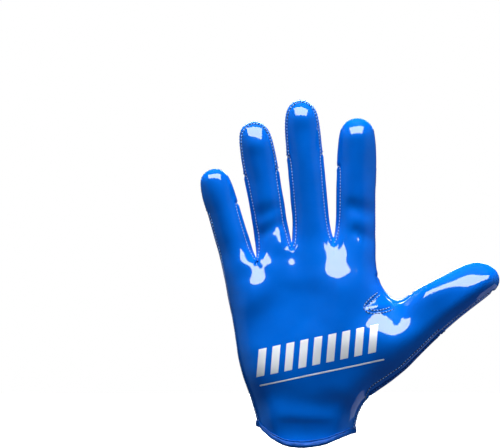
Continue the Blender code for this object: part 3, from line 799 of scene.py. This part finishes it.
def palm_panel_name(row, sector):
    """The panel of a quad between two palm rows, or none inside the thumb's root."""
    if sector < LAST_COLUMN - 1:
        return "palm_panel"
    if sector > LAST_COLUMN:
        return "back_panel"
    if WEB_ROW < row <= HEEL_ROW:
        return None
    if row == WEB_ROW:
        return "thumb_web_gusset"
    if row < WEB_ROW or sector < LAST_COLUMN:
        return "palm_panel"
    return "back_panel"


def build_cage():
    cage = Cage()
    spots = knuckle_points(cage)
    half = FINGER_THICKNESS / 2.0
    lift = KNUCKLE_LIFT * KNUCKLE_HEIGHT
    fronts = [spots[0][0]]
    backs = []
    bases = []
    for left, right in zip(spots, spots[1:]):
        front = face_pair(cage, left[0], right[0], -half, lift)
        back = face_pair(cage, right[2], left[2], half, lift)
        bases.append([left[1], left[0], *front, right[0],
                      right[1], right[2], *back, left[2]])
        fronts.extend((*front, right[0]))
        backs.append((right[2], *back))
    knuckles = [spots[0][1], *fronts, spots[-1][1]]
    for group in reversed(backs):
        knuckles.extend(group)
    knuckles.append(spots[0][2])
    for place, base_ring in enumerate(bases):
        add_finger(cage, place, base_ring)
    loops = [knuckles]
    for index in range(len(PALM_ROWS)):
        loops.append(palm_loop(cage, index))
        cage.band(loops[-2], loops[-1], lambda sector: palm_panel_name(index, sector))
    rows = loops[WEB_ROW + 1:HEEL_ROW + 2]
    web, heel = rows[0][LAST_COLUMN], rows[-1][LAST_COLUMN]
    front_chain = [loop[LAST_COLUMN - 1] for loop in rows]
    back_chain = [loop[LAST_COLUMN + 1] for loop in reversed(rows)]
    add_thumb(cage, [web, *front_chain, heel, *back_chain])
    return cage


def smooth_hand(cage, levels):
    """The cage subdivided: its points, its faces, and the panel of each face."""
    mesh = closed_mesh("hand_cage", cage.points, cage.faces, cage.panels)
    hand = add_object("hand_cage", mesh)
    smooth = hand.modifiers.new("smooth", "SUBSURF")
    smooth.levels = levels
    smooth.render_levels = levels
    bpy.context.view_layer.update()
    fine = hand.evaluated_get(bpy.context.evaluated_depsgraph_get()).to_mesh()
    points = np.array([tuple(vertex.co) for vertex in fine.vertices])
    faces = [tuple(polygon.vertices) for polygon in fine.polygons]
    panels = [polygon.material_index for polygon in fine.polygons]
    bpy.data.objects.remove(hand, do_unlink=True)
    bpy.data.meshes.remove(mesh)
    return points, faces, panels


def face_crosses(points, faces):
    """The outward normal of each quad, as long as twice its area."""
    corners = points[np.array(faces)]
    return np.cross(corners[:, 2] - corners[:, 0], corners[:, 3] - corners[:, 1])


def point_normals(points, faces):
    crosses = face_crosses(points, faces)
    normals = np.zeros_like(points)
    for corner in np.array(faces).T:
        np.add.at(normals, corner, crosses)
    return unit(normals)


def pulled_in(points, faces):
    """Moves a panel's border half a seam gap into the panel, square to its edges."""
    normals = unit(face_crosses(points, faces))
    inward = {}
    for (a, b), number in border(faces).items():
        aim = np.cross(normals[number], points[b] - points[a])
        aim /= np.linalg.norm(aim)
        inward.setdefault(a, []).append(aim)
        inward.setdefault(b, []).append(aim)
    shifts = {}
    for vertex, aims in inward.items():
        total = sum(aims)
        opening = 1.0 + min(float(aims[0] @ aims[-1]), 1.0)
        shifts[vertex] = total / max(opening, MITRE_LIMIT) * SEAM_GAP / 2.0
    return shifts


def seam_spots(points, faces, panels):
    """The points that lie between two panels."""
    owners = {}
    for face, panel in zip(faces, panels):
        for vertex in face:
            owners.setdefault(vertex, set()).add(panel)
    return points[[vertex for vertex, found in owners.items() if len(found) > 1]]


def fold_rise(fold, spots):
    """Highest along a straight line."""
    start = np.array((fold.x0, fold.z0)) * KNUCKLE_HEIGHT
    end = np.array((fold.x1, fold.z1)) * KNUCKLE_HEIGHT
    away = line_distances(spots, start, end)
    return np.exp(-(away / (fold.width * KNUCKLE_HEIGHT)) ** 2)


def pad_rise(pad, spots):
    """Highest at the middle of a tilted oval."""
    turn = math.radians(pad.tilt)
    x, z = (spots - np.array((pad.x, pad.z)) * KNUCKLE_HEIGHT).T
    along = (x * math.cos(turn) + z * math.sin(turn)) / pad.length
    across = (z * math.cos(turn) - x * math.sin(turn)) / pad.width
    return np.exp(-(along ** 2 + across ** 2) / KNUCKLE_HEIGHT ** 2)


def crease_rise(crease, spots):
    """Highest along the line through the crease's points, fading to its two ends."""
    line = np.array(crease.points) * KNUCKLE_HEIGHT
    away = np.min([line_distances(spots, *ends) for ends in zip(line, line[1:])], axis=0)
    end = np.min([np.linalg.norm(spots - line[at], axis=1) for at in (0, -1)], axis=0)
    rise = np.exp(-(away / (crease.width * KNUCKLE_HEIGHT)) ** 2)
    return rise * np.clip(end / CREASE_FADE, 0.0, 1.0)


def raised(points, faces, shapes, rise_of):
    """The surface moved along its normal by shapes, each on its side of the hand."""
    normals = point_normals(points, faces)
    moved = points.copy()
    for shape in shapes:
        facing = np.clip(-shape.side * normals[:, 1], 0.0, 1.0)
        rise = rise_of(shape, points[:, (0, 2)]) * facing
        moved += normals * (rise * shape.height * FOLD_HEIGHT)[:, None]
    return moved


def add_waves(points, faces):
    """Slight unevenness of the stretched film."""
    rise = np.zeros(len(points))
    for wave in WAVES:
        rise += wave.height * np.array([noise.noise(Vector(point) / wave.length)
                                        for point in points])
    return points + point_normals(points, faces) * rise[:, None]


def add_seam_dips(points, faces, panels):
    """The leather turns in at its seams and swells a little beside them."""
    seams = tree_of(seam_spots(points, faces, panels))
    away = np.array([min(seams.find(point)[2], SEAM_REACH) for point in points])
    dip = np.exp(-(away / SEAM_DIP_WIDTH) ** 2) * SEAM_DIP
    swell = np.exp(-((away - SEAM_SWELL_AWAY) / SEAM_DIP_WIDTH) ** 2) * SEAM_SWELL
    return points + point_normals(points, faces) * (swell - dip)[:, None]


def hand_surface(levels):
    """The whole outer surface with its folds, pads, creases, waves and seam dips."""
    points, faces, panels = smooth_hand(build_cage(), levels)
    for shapes, rise_of in ((FOLDS, fold_rise), (PADS, pad_rise),
                            (CREASES, crease_rise)):
        points = raised(points, faces, shapes, rise_of)
    points = add_waves(points, faces)
    return Surface(add_seam_dips(points, faces, panels), faces, panels)


class Surface:
    """Points, quads and panels of the hand, with what is worked out from them."""

    def __init__(self, points, faces, panels):
        self.points = points
        self.faces = faces
        self.panels = panels
        self.normals = point_normals(points, faces)
        self.tree = BVHTree.FromPolygons([tuple(point) for point in points], faces)
        self.owners = {edge: panels[face] for edge, face in edge_faces(faces).items()}

    def skin(self, name, sunk):
        """Numbers, places and quads of a panel whose border is pulled in, as deep under
        the surface as asked, and the shifts of its border."""
        own = PANELS.index(name)
        faces = [face for face, panel in zip(self.faces, self.panels) if panel == own]
        shifts = pulled_in(self.points, faces)
        used = sorted({vertex for face in faces for vertex in face})
        still = np.zeros(3)
        spots = [self.points[v] + shifts.get(v, still) - self.normals[v] * sunk
                 for v in used]
        return used, spots, faces, shifts

    def on(self, spot):
        """The nearest point of the surface and the outward normal there."""
        place, normal, _, _ = self.tree.find_nearest(Vector(spot))
        return np.array(place), np.array(normal)

    def ahead(self, x, z, side):
        """Place, normal and face of the surface met by looking at (x, z) from the palm
        side, 1, or the back, -1."""
        place, normal, face, _ = self.tree.ray_cast((x, -RAY_START * side, z),
                                                    (0.0, side, 0.0))
        if place is None:
            return None, None, None
        return np.array(place), np.array(normal), face


def hole_places():
    """Wished places of the holes in XZ: columns along the fingers, lines on the hand."""
    places = []
    for column in HOLE_COLUMNS:
        place = FINGER_NAMES.index(column.finger)
        finger = FINGERS[place]
        base, along, across = finger_axes(place)
        rise = HOLE_START + column.shift * HOLE_PITCH
        while rise < finger.length:
            width = mix(finger.base_width, finger.tip_width, max(rise, 0.0) / finger.length)
            spot = base + along * rise + across * width * column.across
            places.append(spot[[0, 2]])
            rise += HOLE_PITCH
    for line in HOLE_LINES:
        start = np.array((line.x0, line.z0)) * KNUCKLE_HEIGHT
        end = np.array((line.x1, line.z1)) * KNUCKLE_HEIGHT
        steps = max(1, round(np.linalg.norm(end - start) / HOLE_PITCH))
        places += [mix(start, end, step / steps) for step in range(steps + 1)]
    return places


def under_strap(x, z):
    """Whether a point of the back lies under the strap or close beside it."""
    spot = np.array(((x, z),))
    for step in range(STRAP_COLUMNS + 1):
        upper, lower = (np.array(strap_spot(step / STRAP_COLUMNS, end))
                        for end in (0.0, 1.0))
        if abs(x - mix(upper[0], lower[0], 0.5)) > STRAP_WIDTH:
            continue
        if line_distances(spot, upper, lower)[0] < STRAP_MARGIN:
            return True
    return False


def hole_spots(surface):
    """Holes that lie on the back leather, clear of seams, of the strap and each other."""
    seams = tree_of(seam_spots(surface.points, surface.faces, surface.panels))
    allowed = {PANELS.index(name) for name in LEATHER_PANELS}
    found = []
    for x, z in hole_places():
        place, out, face = surface.ahead(x, z, -1)
        if face is None or surface.panels[face] not in allowed:
            continue
        if seams.find(place)[2] < HOLE_MARGIN or under_strap(x, z):
            continue
        if any(np.linalg.norm(place - spot) < HOLE_ROOM for spot, _, _ in found):
            continue
        found.append((place, out, surface.panels[face]))
    return found


def turned_about(spots, centre, out):
    """Angle of each point round a hole, and the two directions it is measured from."""
    right = np.cross(out, (0.0, 0.0, 1.0))
    right /= np.linalg.norm(right)
    up = np.cross(out, right)
    offsets = np.asarray(spots) - centre
    return np.arctan2(offsets @ up, offsets @ right), right, up


def punch(surface, spots, quads, tints, centre, out, users, tree):
    """Cuts one hole: takes out the faces round it, sews in a ring and sinks a cup."""
    gone = set()
    for _, vertex, _ in tree.find_range(Vector(centre), HOLE_CLEAR):
        gone.update(users[vertex])
    loop = closed_loop({a: b for a, b in border([quads[face] for face in gone])})
    for face in gone:
        quads[face] = None
    angles, right, up = turned_about([spots[v] for v in loop], centre, out)
    if np.sum(np.sin(np.diff(np.append(angles, angles[0])))) < 0.0:
        up = -up
        angles = -angles
    start = int(np.argmin(angles))
    loop = loop[start:] + loop[:start]
    angles = np.roll(angles, -start)
    turns = [2.0 * math.pi * (step + 0.5) / HOLE_SIDES - math.pi
             for step in range(HOLE_SIDES)]
    first = len(spots)
    for radius, depth in HOLE_RINGS:
        for turn in turns:
            edge = centre + (right * math.cos(turn) + up * math.sin(turn)) * radius
            spots.append(surface.on(edge)[0] - out * depth)
    lip = range(first, first + HOLE_SIDES)
    i = j = 0
    while i < len(loop) or j < HOLE_SIDES:
        if j == HOLE_SIDES or i < len(loop) and angles[i] <= turns[j]:
            quads.append((loop[i - 1], loop[i], lip[j - 1]))
            i += 1
        else:
            quads.append((lip[j - 1], loop[i - 1], lip[j]))
            j += 1
    quads += tube(first, HOLE_SIDES, len(HOLE_RINGS) - 1)
    quads.append(tuple(range(len(spots) - HOLE_SIDES, len(spots))))
    tints += [0] * (len(loop) + 2 * HOLE_SIDES) + [1] * (HOLE_SIDES + 1)


def panel_mesh(name, fine, coarse, holes):
    """A panel's fine outer skin with its holes and turned-in edges, and a coarser skin
    inside it."""
    used, spots, faces, shifts = fine.skin(name, 0.0)
    place = {vertex: index for index, vertex in enumerate(used)}
    quads = [tuple(place[v] for v in face) for face in faces]
    tints = [0] * len(quads)
    own = [hole for hole in holes if hole[2] == PANELS.index(name)]
    if own:
        users = {}
        for index, quad in enumerate(quads):
            for vertex in quad:
                users.setdefault(vertex, []).append(index)
        tree = tree_of(spots)
        for centre, out, _ in own:
            punch(fine, spots, quads, tints, centre, out, users, tree)
    turned = {vertex: len(spots) + index for index, vertex in enumerate(shifts)}
    spots += [spots[place[v]] - fine.normals[v] * WALL for v in shifts]
    quads += [(place[b], place[a], turned[a], turned[b]) for a, b in border(faces)]
    used, lining, faces, _ = coarse.skin(name, WALL)
    place = {vertex: len(spots) + index for index, vertex in enumerate(used)}
    spots += lining
    quads += [tuple(place[v] for v in reversed(face)) for face in faces]
    tints += [0] * (len(quads) - len(tints))
    kept = [index for index, quad in enumerate(quads) if quad]
    return new_mesh(name, spots, [quads[i] for i in kept], [tints[i] for i in kept])


def add_piece(name, mesh, materials, node=None):
    """Puts a finished mesh in the scene, on the one body, in place of a frame node."""
    for material in materials:
        mesh.materials.append(material)
    mesh.shade_smooth()
    mesh.set_sharp_from_angle(angle=math.radians(SHARP_ANGLE))
    piece = add_object(name, mesh)
    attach(piece, "root")
    if node:
        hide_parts(node)


def hem_loop(faces):
    """The points of the open wrist edge in order, and the point above each."""
    after = {b: a for a, b in border(faces)}
    above = {a: b for a, b in edge_faces(faces) if a in after and b not in after}
    loop = closed_loop(after)
    return loop, [above[vertex] for vertex in loop]


def binding_profile():
    """Out from the wall and up from the hem: two rolls outside, round the wall's edge
    and up its inner side."""
    near = BINDING_CLEARANCE
    top = BINDING_HEIGHT - BINDING_THICKNESS
    spots = []
    for share, high in BINDING_ROLLS:
        spots.append((near + BINDING_THICKNESS * high, top * (1.0 - share)))
    middle = -WALL / 2.0
    reach = near + BINDING_THICKNESS - middle
    for step in range(1, BINDING_STEPS):
        angle = math.pi * step / BINDING_STEPS
        spots.append((middle + reach * math.cos(angle),
                      -near - BINDING_THICKNESS * math.sin(angle)))
    inside = -WALL - near
    spots += [(inside - BINDING_THICKNESS, 0.0), (inside - BINDING_THICKNESS, top / 2.0),
              (inside - BINDING_THICKNESS / 2.0, top), (inside, top),
              (inside, -near), (near, -near), (near, top)]
    return spots


def binding_mesh(surface):
    """The binding's profile carried round the wrist edge, a little puckered."""
    profile = binding_profile()
    loop, above = hem_loop(surface.faces)
    spots = []
    for vertex, upper in zip(loop, above):
        foot = surface.points[vertex]
        rise = surface.points[upper] - foot
        rise /= np.linalg.norm(rise)
        out = surface.normals[vertex] - rise * (surface.normals[vertex] @ rise)
        out /= np.linalg.norm(out)
        for x, z in profile:
            spot = foot + out * x + rise * z
            pucker = noise.noise(Vector(spot) / PUCKER_LENGTH) * PUCKER_HEIGHT
            spots.append(spot + out * pucker)
    quads = [tuple(corner % len(spots) for corner in quad)
             for quad in tube(0, len(profile), len(loop))]
    return closed_mesh("cuff_binding", spots, quads)


def strap_end(reach, up):
    """A point of the strap's outline in XZ, measured from its tip."""
    z = STRAP_TIP_UP * KNUCKLE_HEIGHT + up * STRAP_WIDTH
    rows = PALM_ROWS[::-1]
    heights = [row.little_z * KNUCKLE_HEIGHT for row in rows]
    edges = [row.little_x * KNUCKLE_BREADTH for row in rows]
    edge = float(np.interp(z, heights, edges))
    return mix(STRAP_TIP_ACROSS * KNUCKLE_BREADTH, edge, reach), z


def strap_spot(along, down):
    """A point of the strap in XZ: along from its tip, down across its width."""
    place = along * (len(STRAP_SECTIONS) - 1)
    first = min(int(place), len(STRAP_SECTIONS) - 2)
    section = [mix(a, b, place - first)
               for a, b in zip(*STRAP_SECTIONS[first:first + 2])]
    upper, lower = strap_end(*section[:2]), strap_end(*section[2:])
    bow = STRAP_BOW * STRAP_WIDTH * math.sin(math.pi * down)
    return mix(upper[0], lower[0], down) - bow, mix(upper[1], lower[1], down) - bow


def strap_height(along, down, width):
    """Thickness of the strap: rounded edges, a smooth border and curved ribs."""
    ends = min(along, 1.0 - along) * STRAP_REACH
    edge = min(min(down, 1.0 - down) * width, ends)
    round_off = 1.0 - min(edge / STRAP_ROUNDING, 1.0)
    thick = STRAP_THICKNESS * mix(STRAP_RIM, 1.0, math.sqrt(1.0 - round_off ** 2))
    inner = min(max((edge - STRAP_BORDER) / STRAP_FADE, 0.0), 1.0)
    phase = (along * STRAP_REACH - STRAP_BORDER) / (STRAP_REACH - 2.0 * STRAP_BORDER)
    ridge = 0.5 - 0.5 * math.cos(2.0 * math.pi * RIBS * phase)
    bead = math.exp(-((edge - STRAP_BEAD_IN) / STRAP_BEAD_WIDTH) ** 2) * STRAP_BEAD
    return thick + bead + inner * (ridge ** RIB_POWER * RIB_HEIGHT - RIB_DIP)


def strap_mesh(surface):
    """The strap's underside along the surface, its ribbed top, and the rim between."""
    under = []
    over = []
    for column in range(STRAP_COLUMNS + 1):
        along = column / STRAP_COLUMNS
        width = math.dist(strap_spot(along, 0.0), strap_spot(along, 1.0))
        for row in range(STRAP_LINES + 1):
            down = row / STRAP_LINES
            hit, out, _ = surface.ahead(*strap_spot(along, down), -1)
            height = strap_height(along, down, width)
            under.append(hit + out * STRAP_CLEARANCE)
            over.append(hit + out * (STRAP_CLEARANCE + height))
    count = len(under)
    size = (STRAP_COLUMNS + 1, STRAP_LINES + 1)
    lower_skin = [turned_over(quad) for quad in grid(0, *size)]
    rim = [(b, a, a + count, b + count) for a, b in border(lower_skin)]
    return closed_mesh("closure_strap", under + over,
                       lower_skin + grid(count, *size) + rim)


def seam_runs(surface, name, beside):
    """Border points of a panel where it meets the panels beside it, run by run."""
    own = PANELS.index(name)
    others = {PANELS.index(other) for other in beside}
    after = {}
    for (a, b), panel in surface.owners.items():
        if panel == own and surface.owners.get((b, a)) in others:
            after[a] = b
    runs = []
    starts = sorted(set(after) - set(after.values()))
    while after:
        step = starts.pop(0) if starts else min(after)
        run = [step]
        while run[-1] in after:
            run.append(after.pop(run[-1]))
        runs.append(surface.points[run])
    return runs


def even_spots(line, pitch):
    """Points at an even pitch along a line, each with the line's direction there."""
    steps = np.linalg.norm(np.diff(line, axis=0), axis=1)
    places = np.concatenate(([0.0], np.cumsum(steps)))
    count = int(places[-1] / pitch)
    if count < 2:
        return []
    at = (np.arange(count) + 0.5) * places[-1] / count
    reach = places[-1] / count
    at = (np.arange(count) + 0.5) * places[-1] / count
    spots, ahead, behind = (
        np.array([np.interp(at + shift, places, line[:, axis]) for axis in range(3)]).T
        for shift in (0.0, reach, -reach))
    return list(zip(spots, unit(ahead - behind)))


class Beads:
    """Many small rounded bars gathered into one mesh, with a material number each."""

    def __init__(self):
        self.spots = []
        self.faces = []
        self.materials = []

    def bar(self, centre, along, up, half, radius, material, squeeze=1.0):
        side = np.cross(along, up)
        first = len(self.spots)
        for share, girth in BAR_RINGS:
            for step in range(BAR_SIDES):
                angle = 2.0 * math.pi * step / BAR_SIDES
                round_off = girth * radius
                self.spots.append(centre + along * half * share
                                  + side * math.cos(angle) * round_off
                                  + up * math.sin(angle) * round_off * squeeze)
        start, end = range(first, first + BAR_SIDES), len(self.spots)
        faces = tube(first, BAR_SIDES, len(BAR_RINGS) - 1)
        faces += [tuple(reversed(start)), tuple(range(end - BAR_SIDES, end))]
        self.faces += faces
        self.materials += [material] * len(faces)


def inset_line(surface, line, inset):
    """A smoothed line on the surface, inset to the left of a given one."""
    spots = []
    for spot, aim in even_spots(line, STITCH_PITCH / 2.0):
        _, out = surface.on(spot)
        place, _ = surface.on(spot + np.cross(out, aim) * inset)
        spots.append(place)
    spots = np.array(spots)
    for _ in range(SMOOTHING):
        spots[1:-1] = (spots[:-2] + spots[1:-1] + spots[2:]) / 3.0
    return spots


def sew(beads, surface, line, inset):
    """Stitches beside a line, inset to its left, with a flattened dark bar between them,
    painted shade that stands in for a needle hole.
    """
    if np.linalg.norm(np.diff(line, axis=0), axis=1).sum() < SHORTEST_RUN:
        return
    for spot, aim in even_spots(inset_line(surface, line, inset), STITCH_PITCH):
        place, out = surface.on(spot)
        along = aim - out * (aim @ out)
        along /= np.linalg.norm(along)
        beads.bar(place + out * STITCH_RADIUS * STITCH_RISE, along, out,
                  STITCH_LENGTH / 2.0, STITCH_RADIUS, 0)
        # A dark bar of painted shade marks the needle hole.
        hole = place + along * STITCH_PITCH / 2.0
        beads.bar(hole, along, out, NEEDLE_SHADE_SIZE, NEEDLE_SHADE_SIZE, 1, NEEDLE_FLATNESS)


def stitch_mesh(surface, panels):
    """All stitches of some panels, and the pleat's where the palm is among them."""
    beads = Beads()
    for row in STITCH_ROWS:
        if row.panel in panels:
            for run in seam_runs(surface, row.panel, row.beside):
                sew(beads, surface, run, row.inset)
    for line in PLEAT_LINES if "palm_panel" in panels else ():
        spots = [surface.ahead(x * KNUCKLE_HEIGHT, z * KNUCKLE_HEIGHT, 1)[0]
                 for x, z in line]
        sew(beads, surface, np.array([spot for spot in spots if spot is not None]), 0.0)
    return closed_mesh("stitches", beads.spots, beads.faces, beads.materials)


def relief_patch(surface, mark, side, spots, quads):
    """A raised bar on the surface: slanted, with its edges rounded down."""
    turn = math.radians(mark.tilt)
    first = len(spots)
    rows = int(mark.height / MARK_CELL) + 2
    columns = int(mark.width / MARK_CELL) + 2
    for row in range(rows + 1):
        v = row / rows - 0.5
        for column in range(columns + 1):
            u = column / columns - 0.5
            right = u * mark.width + v * mark.slant
            up = v * mark.height
            x = mark.x + right * math.cos(turn) - up * math.sin(turn)
            z = mark.z + right * math.sin(turn) + up * math.cos(turn)
            hit, out, _ = surface.ahead(x, z, side)
            edge = min((0.5 - abs(u)) * mark.width, (0.5 - abs(v)) * mark.height)
            round_off = 1.0 - min(edge / mark.rounding, 1.0)
            rise = mark.rise * math.sqrt(1.0 - round_off ** 2)
            spots.append(hit + out * (rise - MARK_SINK))
    skin = grid(first, rows + 1, columns + 1)
    quads += skin if side > 0 else [turned_over(quad) for quad in skin]


def relief_mesh(surface, marks, side):
    """All bars of a row in one mesh."""
    spots = []
    quads = []
    for mark in marks:
        relief_patch(surface, mark, side, spots, quads)
    return new_mesh("marks", spots, quads)


def mark_row(row):
    """Slanted bars side by side, and a thin line under them."""
    turn = math.radians(row.tilt)
    marks = []
    for index in range(row.count):
        along = (index - (row.count - 1) / 2.0) * row.pitch
        marks.append(Mark(row.x + along * math.cos(turn), row.z + along * math.sin(turn),
                          row.bar, row.height, row.height * MARK_SLANT, row.tilt,
                          row.rise, row.rounding))
    down = row.height / 2.0 + row.gap
    span = row.pitch * row.count
    marks.append(Mark(row.x + down * math.sin(turn), row.z - down * math.cos(turn),
                      span, row.line, 0.0, row.tilt, row.rise, row.rounding))
    return marks


def feed(tree, node, inputs):
    """Sets a node's inputs to values, or links them where an output is given."""
    for socket, value in inputs.items():
        if isinstance(value, bpy.types.NodeSocket):
            tree.links.new(value, node.inputs[socket])
        else:
            node.inputs[socket].default_value = value


def add_node(tree, kind, inputs):
    node = tree.nodes.new("ShaderNode" + kind)
    feed(tree, node, inputs)
    return node


def spread(tree, value, start, end, low, high, curve="LINEAR"):
    """A value's range from start to end laid over the range from low to high."""
    node = add_node(tree, "MapRange", {"From Min": start, "From Max": end,
                                       "To Min": low, "To Max": high, "Value": value})
    node.interpolation_type = curve
    return node.outputs["Result"]


def pattern(tree, place, kind, size, detail):
    """Soft noise, or the distances in a grid of cells."""
    inputs = {"Scale": 1.0 / size, "Vector": place}
    if kind == "Voronoi":
        return add_node(tree, "TexVoronoi", inputs).outputs["Distance"]
    return add_node(tree, "TexNoise", {**inputs, "Detail": detail}).outputs["Fac"]


def new_material(name, color, inputs):
    """A material with its node tree and its shader, and values set on the shader."""
    material = bpy.data.materials.new(name)
    material.use_nodes = True
    material.diffuse_color = color
    shader = material.node_tree.nodes["Principled BSDF"]
    feed(material.node_tree, shader, {"Base Color": color, **inputs})
    return material, material.node_tree, shader


def make_material(look):
    """One shader whose colour, roughness and bumps vary by soft patterns."""
    material, tree, shader = new_material(look.name, (*look.bright, 1.0), {
        "Roughness": look.roughness, "Specular IOR Level": look.specular,
        "Coat Weight": look.coat, "Coat Roughness": COAT_ROUGHNESS})
    place = add_node(tree, "TexCoord", {}).outputs["Object"]
    patches = pattern(tree, place, "Noise", look.patch, look.detail)
    grain = pattern(tree, place, "Noise", look.grain, GRAIN_DETAIL)
    tone = add_node(tree, "Mix", {})
    tone.data_type = "RGBA"
    feed(tree, tone, {"Factor": spread(tree, patches, *NOISE_RANGE, 0.0, 1.0),
                      "A": (*look.bright, 1.0), "B": (*look.deep, 1.0)})
    inputs = {"Base Color": tone.outputs["Result"],
              "Roughness": spread(tree, grain, *NOISE_RANGE, look.low, look.high)}
    below = {}
    for kind, size, detail, height in look.bumps:
        value = pattern(tree, place, kind, size, detail)
        bump = add_node(tree, "Bump", {"Distance": height, "Height": value, **below})
        below = {"Normal": bump.outputs["Normal"]}
    feed(tree, shader, {**inputs, **below})
    return material


def aim(item, target):
    to = Vector(target) - item.location
    item.rotation_euler = to.to_track_quat("-Z", "Y").to_euler()


def add_light(lamp):
    data = bpy.data.lights.new(lamp.name, "AREA")
    data.shape = "RECTANGLE"
    data.size = lamp.width
    data.size_y = lamp.height
    data.energy = lamp.power
    light = add_object(lamp.name, data)
    light.location = (lamp.x, lamp.y, lamp.z)
    aim(light, (VIEW_X, 0.0, VIEW_Z))
    light.visible_glossy = lamp.reflected
    light.visible_diffuse = not lamp.reflected


def add_camera():
    data = bpy.data.cameras.new("camera")
    data.sensor_width = SENSOR
    data.lens = SENSOR * VIEW_DISTANCE / VIEW_WIDTH
    data.clip_start, data.clip_end = CLIP
    camera = add_object("camera", data)
    camera.location = (VIEW_X, -VIEW_DISTANCE, VIEW_Z)
    camera.rotation_euler = (math.radians(90.0), 0.0, 0.0)
    bpy.context.scene.camera = camera


def add_floor():
    """A round, pale floor that only the camera sees."""
    turns = [2.0 * math.pi * step / FLOOR_CORNERS for step in range(FLOOR_CORNERS)]
    rim = [(FLOOR_RADIUS * math.cos(turn), FLOOR_RADIUS * math.sin(turn), FLOOR_Z)
           for turn in turns]
    mesh = new_mesh("floor", rim, [tuple(range(FLOOR_CORNERS))])
    material, _, _ = new_material("floor", FLOOR_COLOR, {
        "Roughness": FLOOR_ROUGHNESS, "Specular IOR Level": 0.0,
        "Emission Color": WHITE, "Emission Strength": FLOOR_GLOW})
    mesh.materials.append(material)
    floor = add_object("floor", mesh)
    floor.visible_glossy = False
    floor.visible_diffuse = False


def add_world():
    """A nearly dark room that glows to the sides and from below, white to the camera."""
    world = bpy.data.worlds.new("studio")
    world.use_nodes = True
    bpy.context.scene.world = world
    tree = world.node_tree
    way = add_node(tree, "TexCoord", {}).outputs["Generated"]
    parts = add_node(tree, "SeparateXYZ", {0: way}).outputs
    side = add_node(tree, "Math", {0: parts["X"]})
    side.operation = "ABSOLUTE"
    glow = spread(tree, side.outputs[0], *SIDE_RANGE, ROOM_LIGHT, SIDE_GLOW, "SMOOTHSTEP")
    room = tree.nodes["Background"]
    feed(tree, room, {"Color": ROOM_COLOR, "Strength": glow})
    low = spread(tree, parts["Z"], *TABLE_RANGE, 0.0, 1.0, "SMOOTHSTEP")
    table_top = add_node(tree, "Background", {"Color": TABLE_COLOR,
                                              "Strength": TABLE_GLOW})
    around = add_node(tree, "MixShader", {0: low, 1: room.outputs[0],
                                          2: table_top.outputs[0]})
    seen = add_node(tree, "Background", {"Color": WHITE})
    ray = add_node(tree, "LightPath", {}).outputs["Is Camera Ray"]
    either = add_node(tree, "MixShader", {0: ray, 1: around.outputs[0],
                                          2: seen.outputs[0]})
    feed(tree, tree.nodes["World Output"], {"Surface": either.outputs[0]})


def make_glove():
    """All pieces of the glove, each with its materials."""
    made = {look.name: make_material(look) for look in LOOKS}
    leather = made["back_leather"]
    fine = hand_surface(FINE_LEVELS)
    coarse = hand_surface(COARSE_LEVELS)
    holes = hole_spots(fine)
    for name in PANELS:
        mesh = panel_mesh(name, fine, coarse, holes)
        if name in LEATHER_PANELS:
            materials, slot = (leather, made["hole_shade"]), "back_leather"
        else:
            skin = "wrap_film" if name in TIP_WRAPS else "grip_film"
            materials, slot = (made[skin],), "grip_film"
        add_piece(name + "_skin", mesh, materials, name)
    for side, panels, thread in (("palm", PANELS[:1], "stitch_thread"),
                                 ("back", PANELS[1:], "back_thread")):
        add_piece(side + "_stitches", stitch_mesh(fine, panels),
                  (made[thread], made["needle_hole"]))
    add_piece("palm_bars", relief_mesh(fine, mark_row(PALM_PRINT), 1),
              (made["palm_print_ink"],))
    add_piece("back_bars", relief_mesh(fine, mark_row(BACK_RELIEF), -1), (leather,))
    add_piece("cuff_roll", binding_mesh(fine), (made["binding_cloth"],),
              "cuff_binding")
    add_piece("ribbed_strap", strap_mesh(fine), (made["strap_moulding"],),
              "closure_strap")


bpy.context.scene.view_settings.view_transform = "Standard"
make_glove()
add_floor()
add_world()
for lamp in LAMPS:
    add_light(lamp)
add_camera()
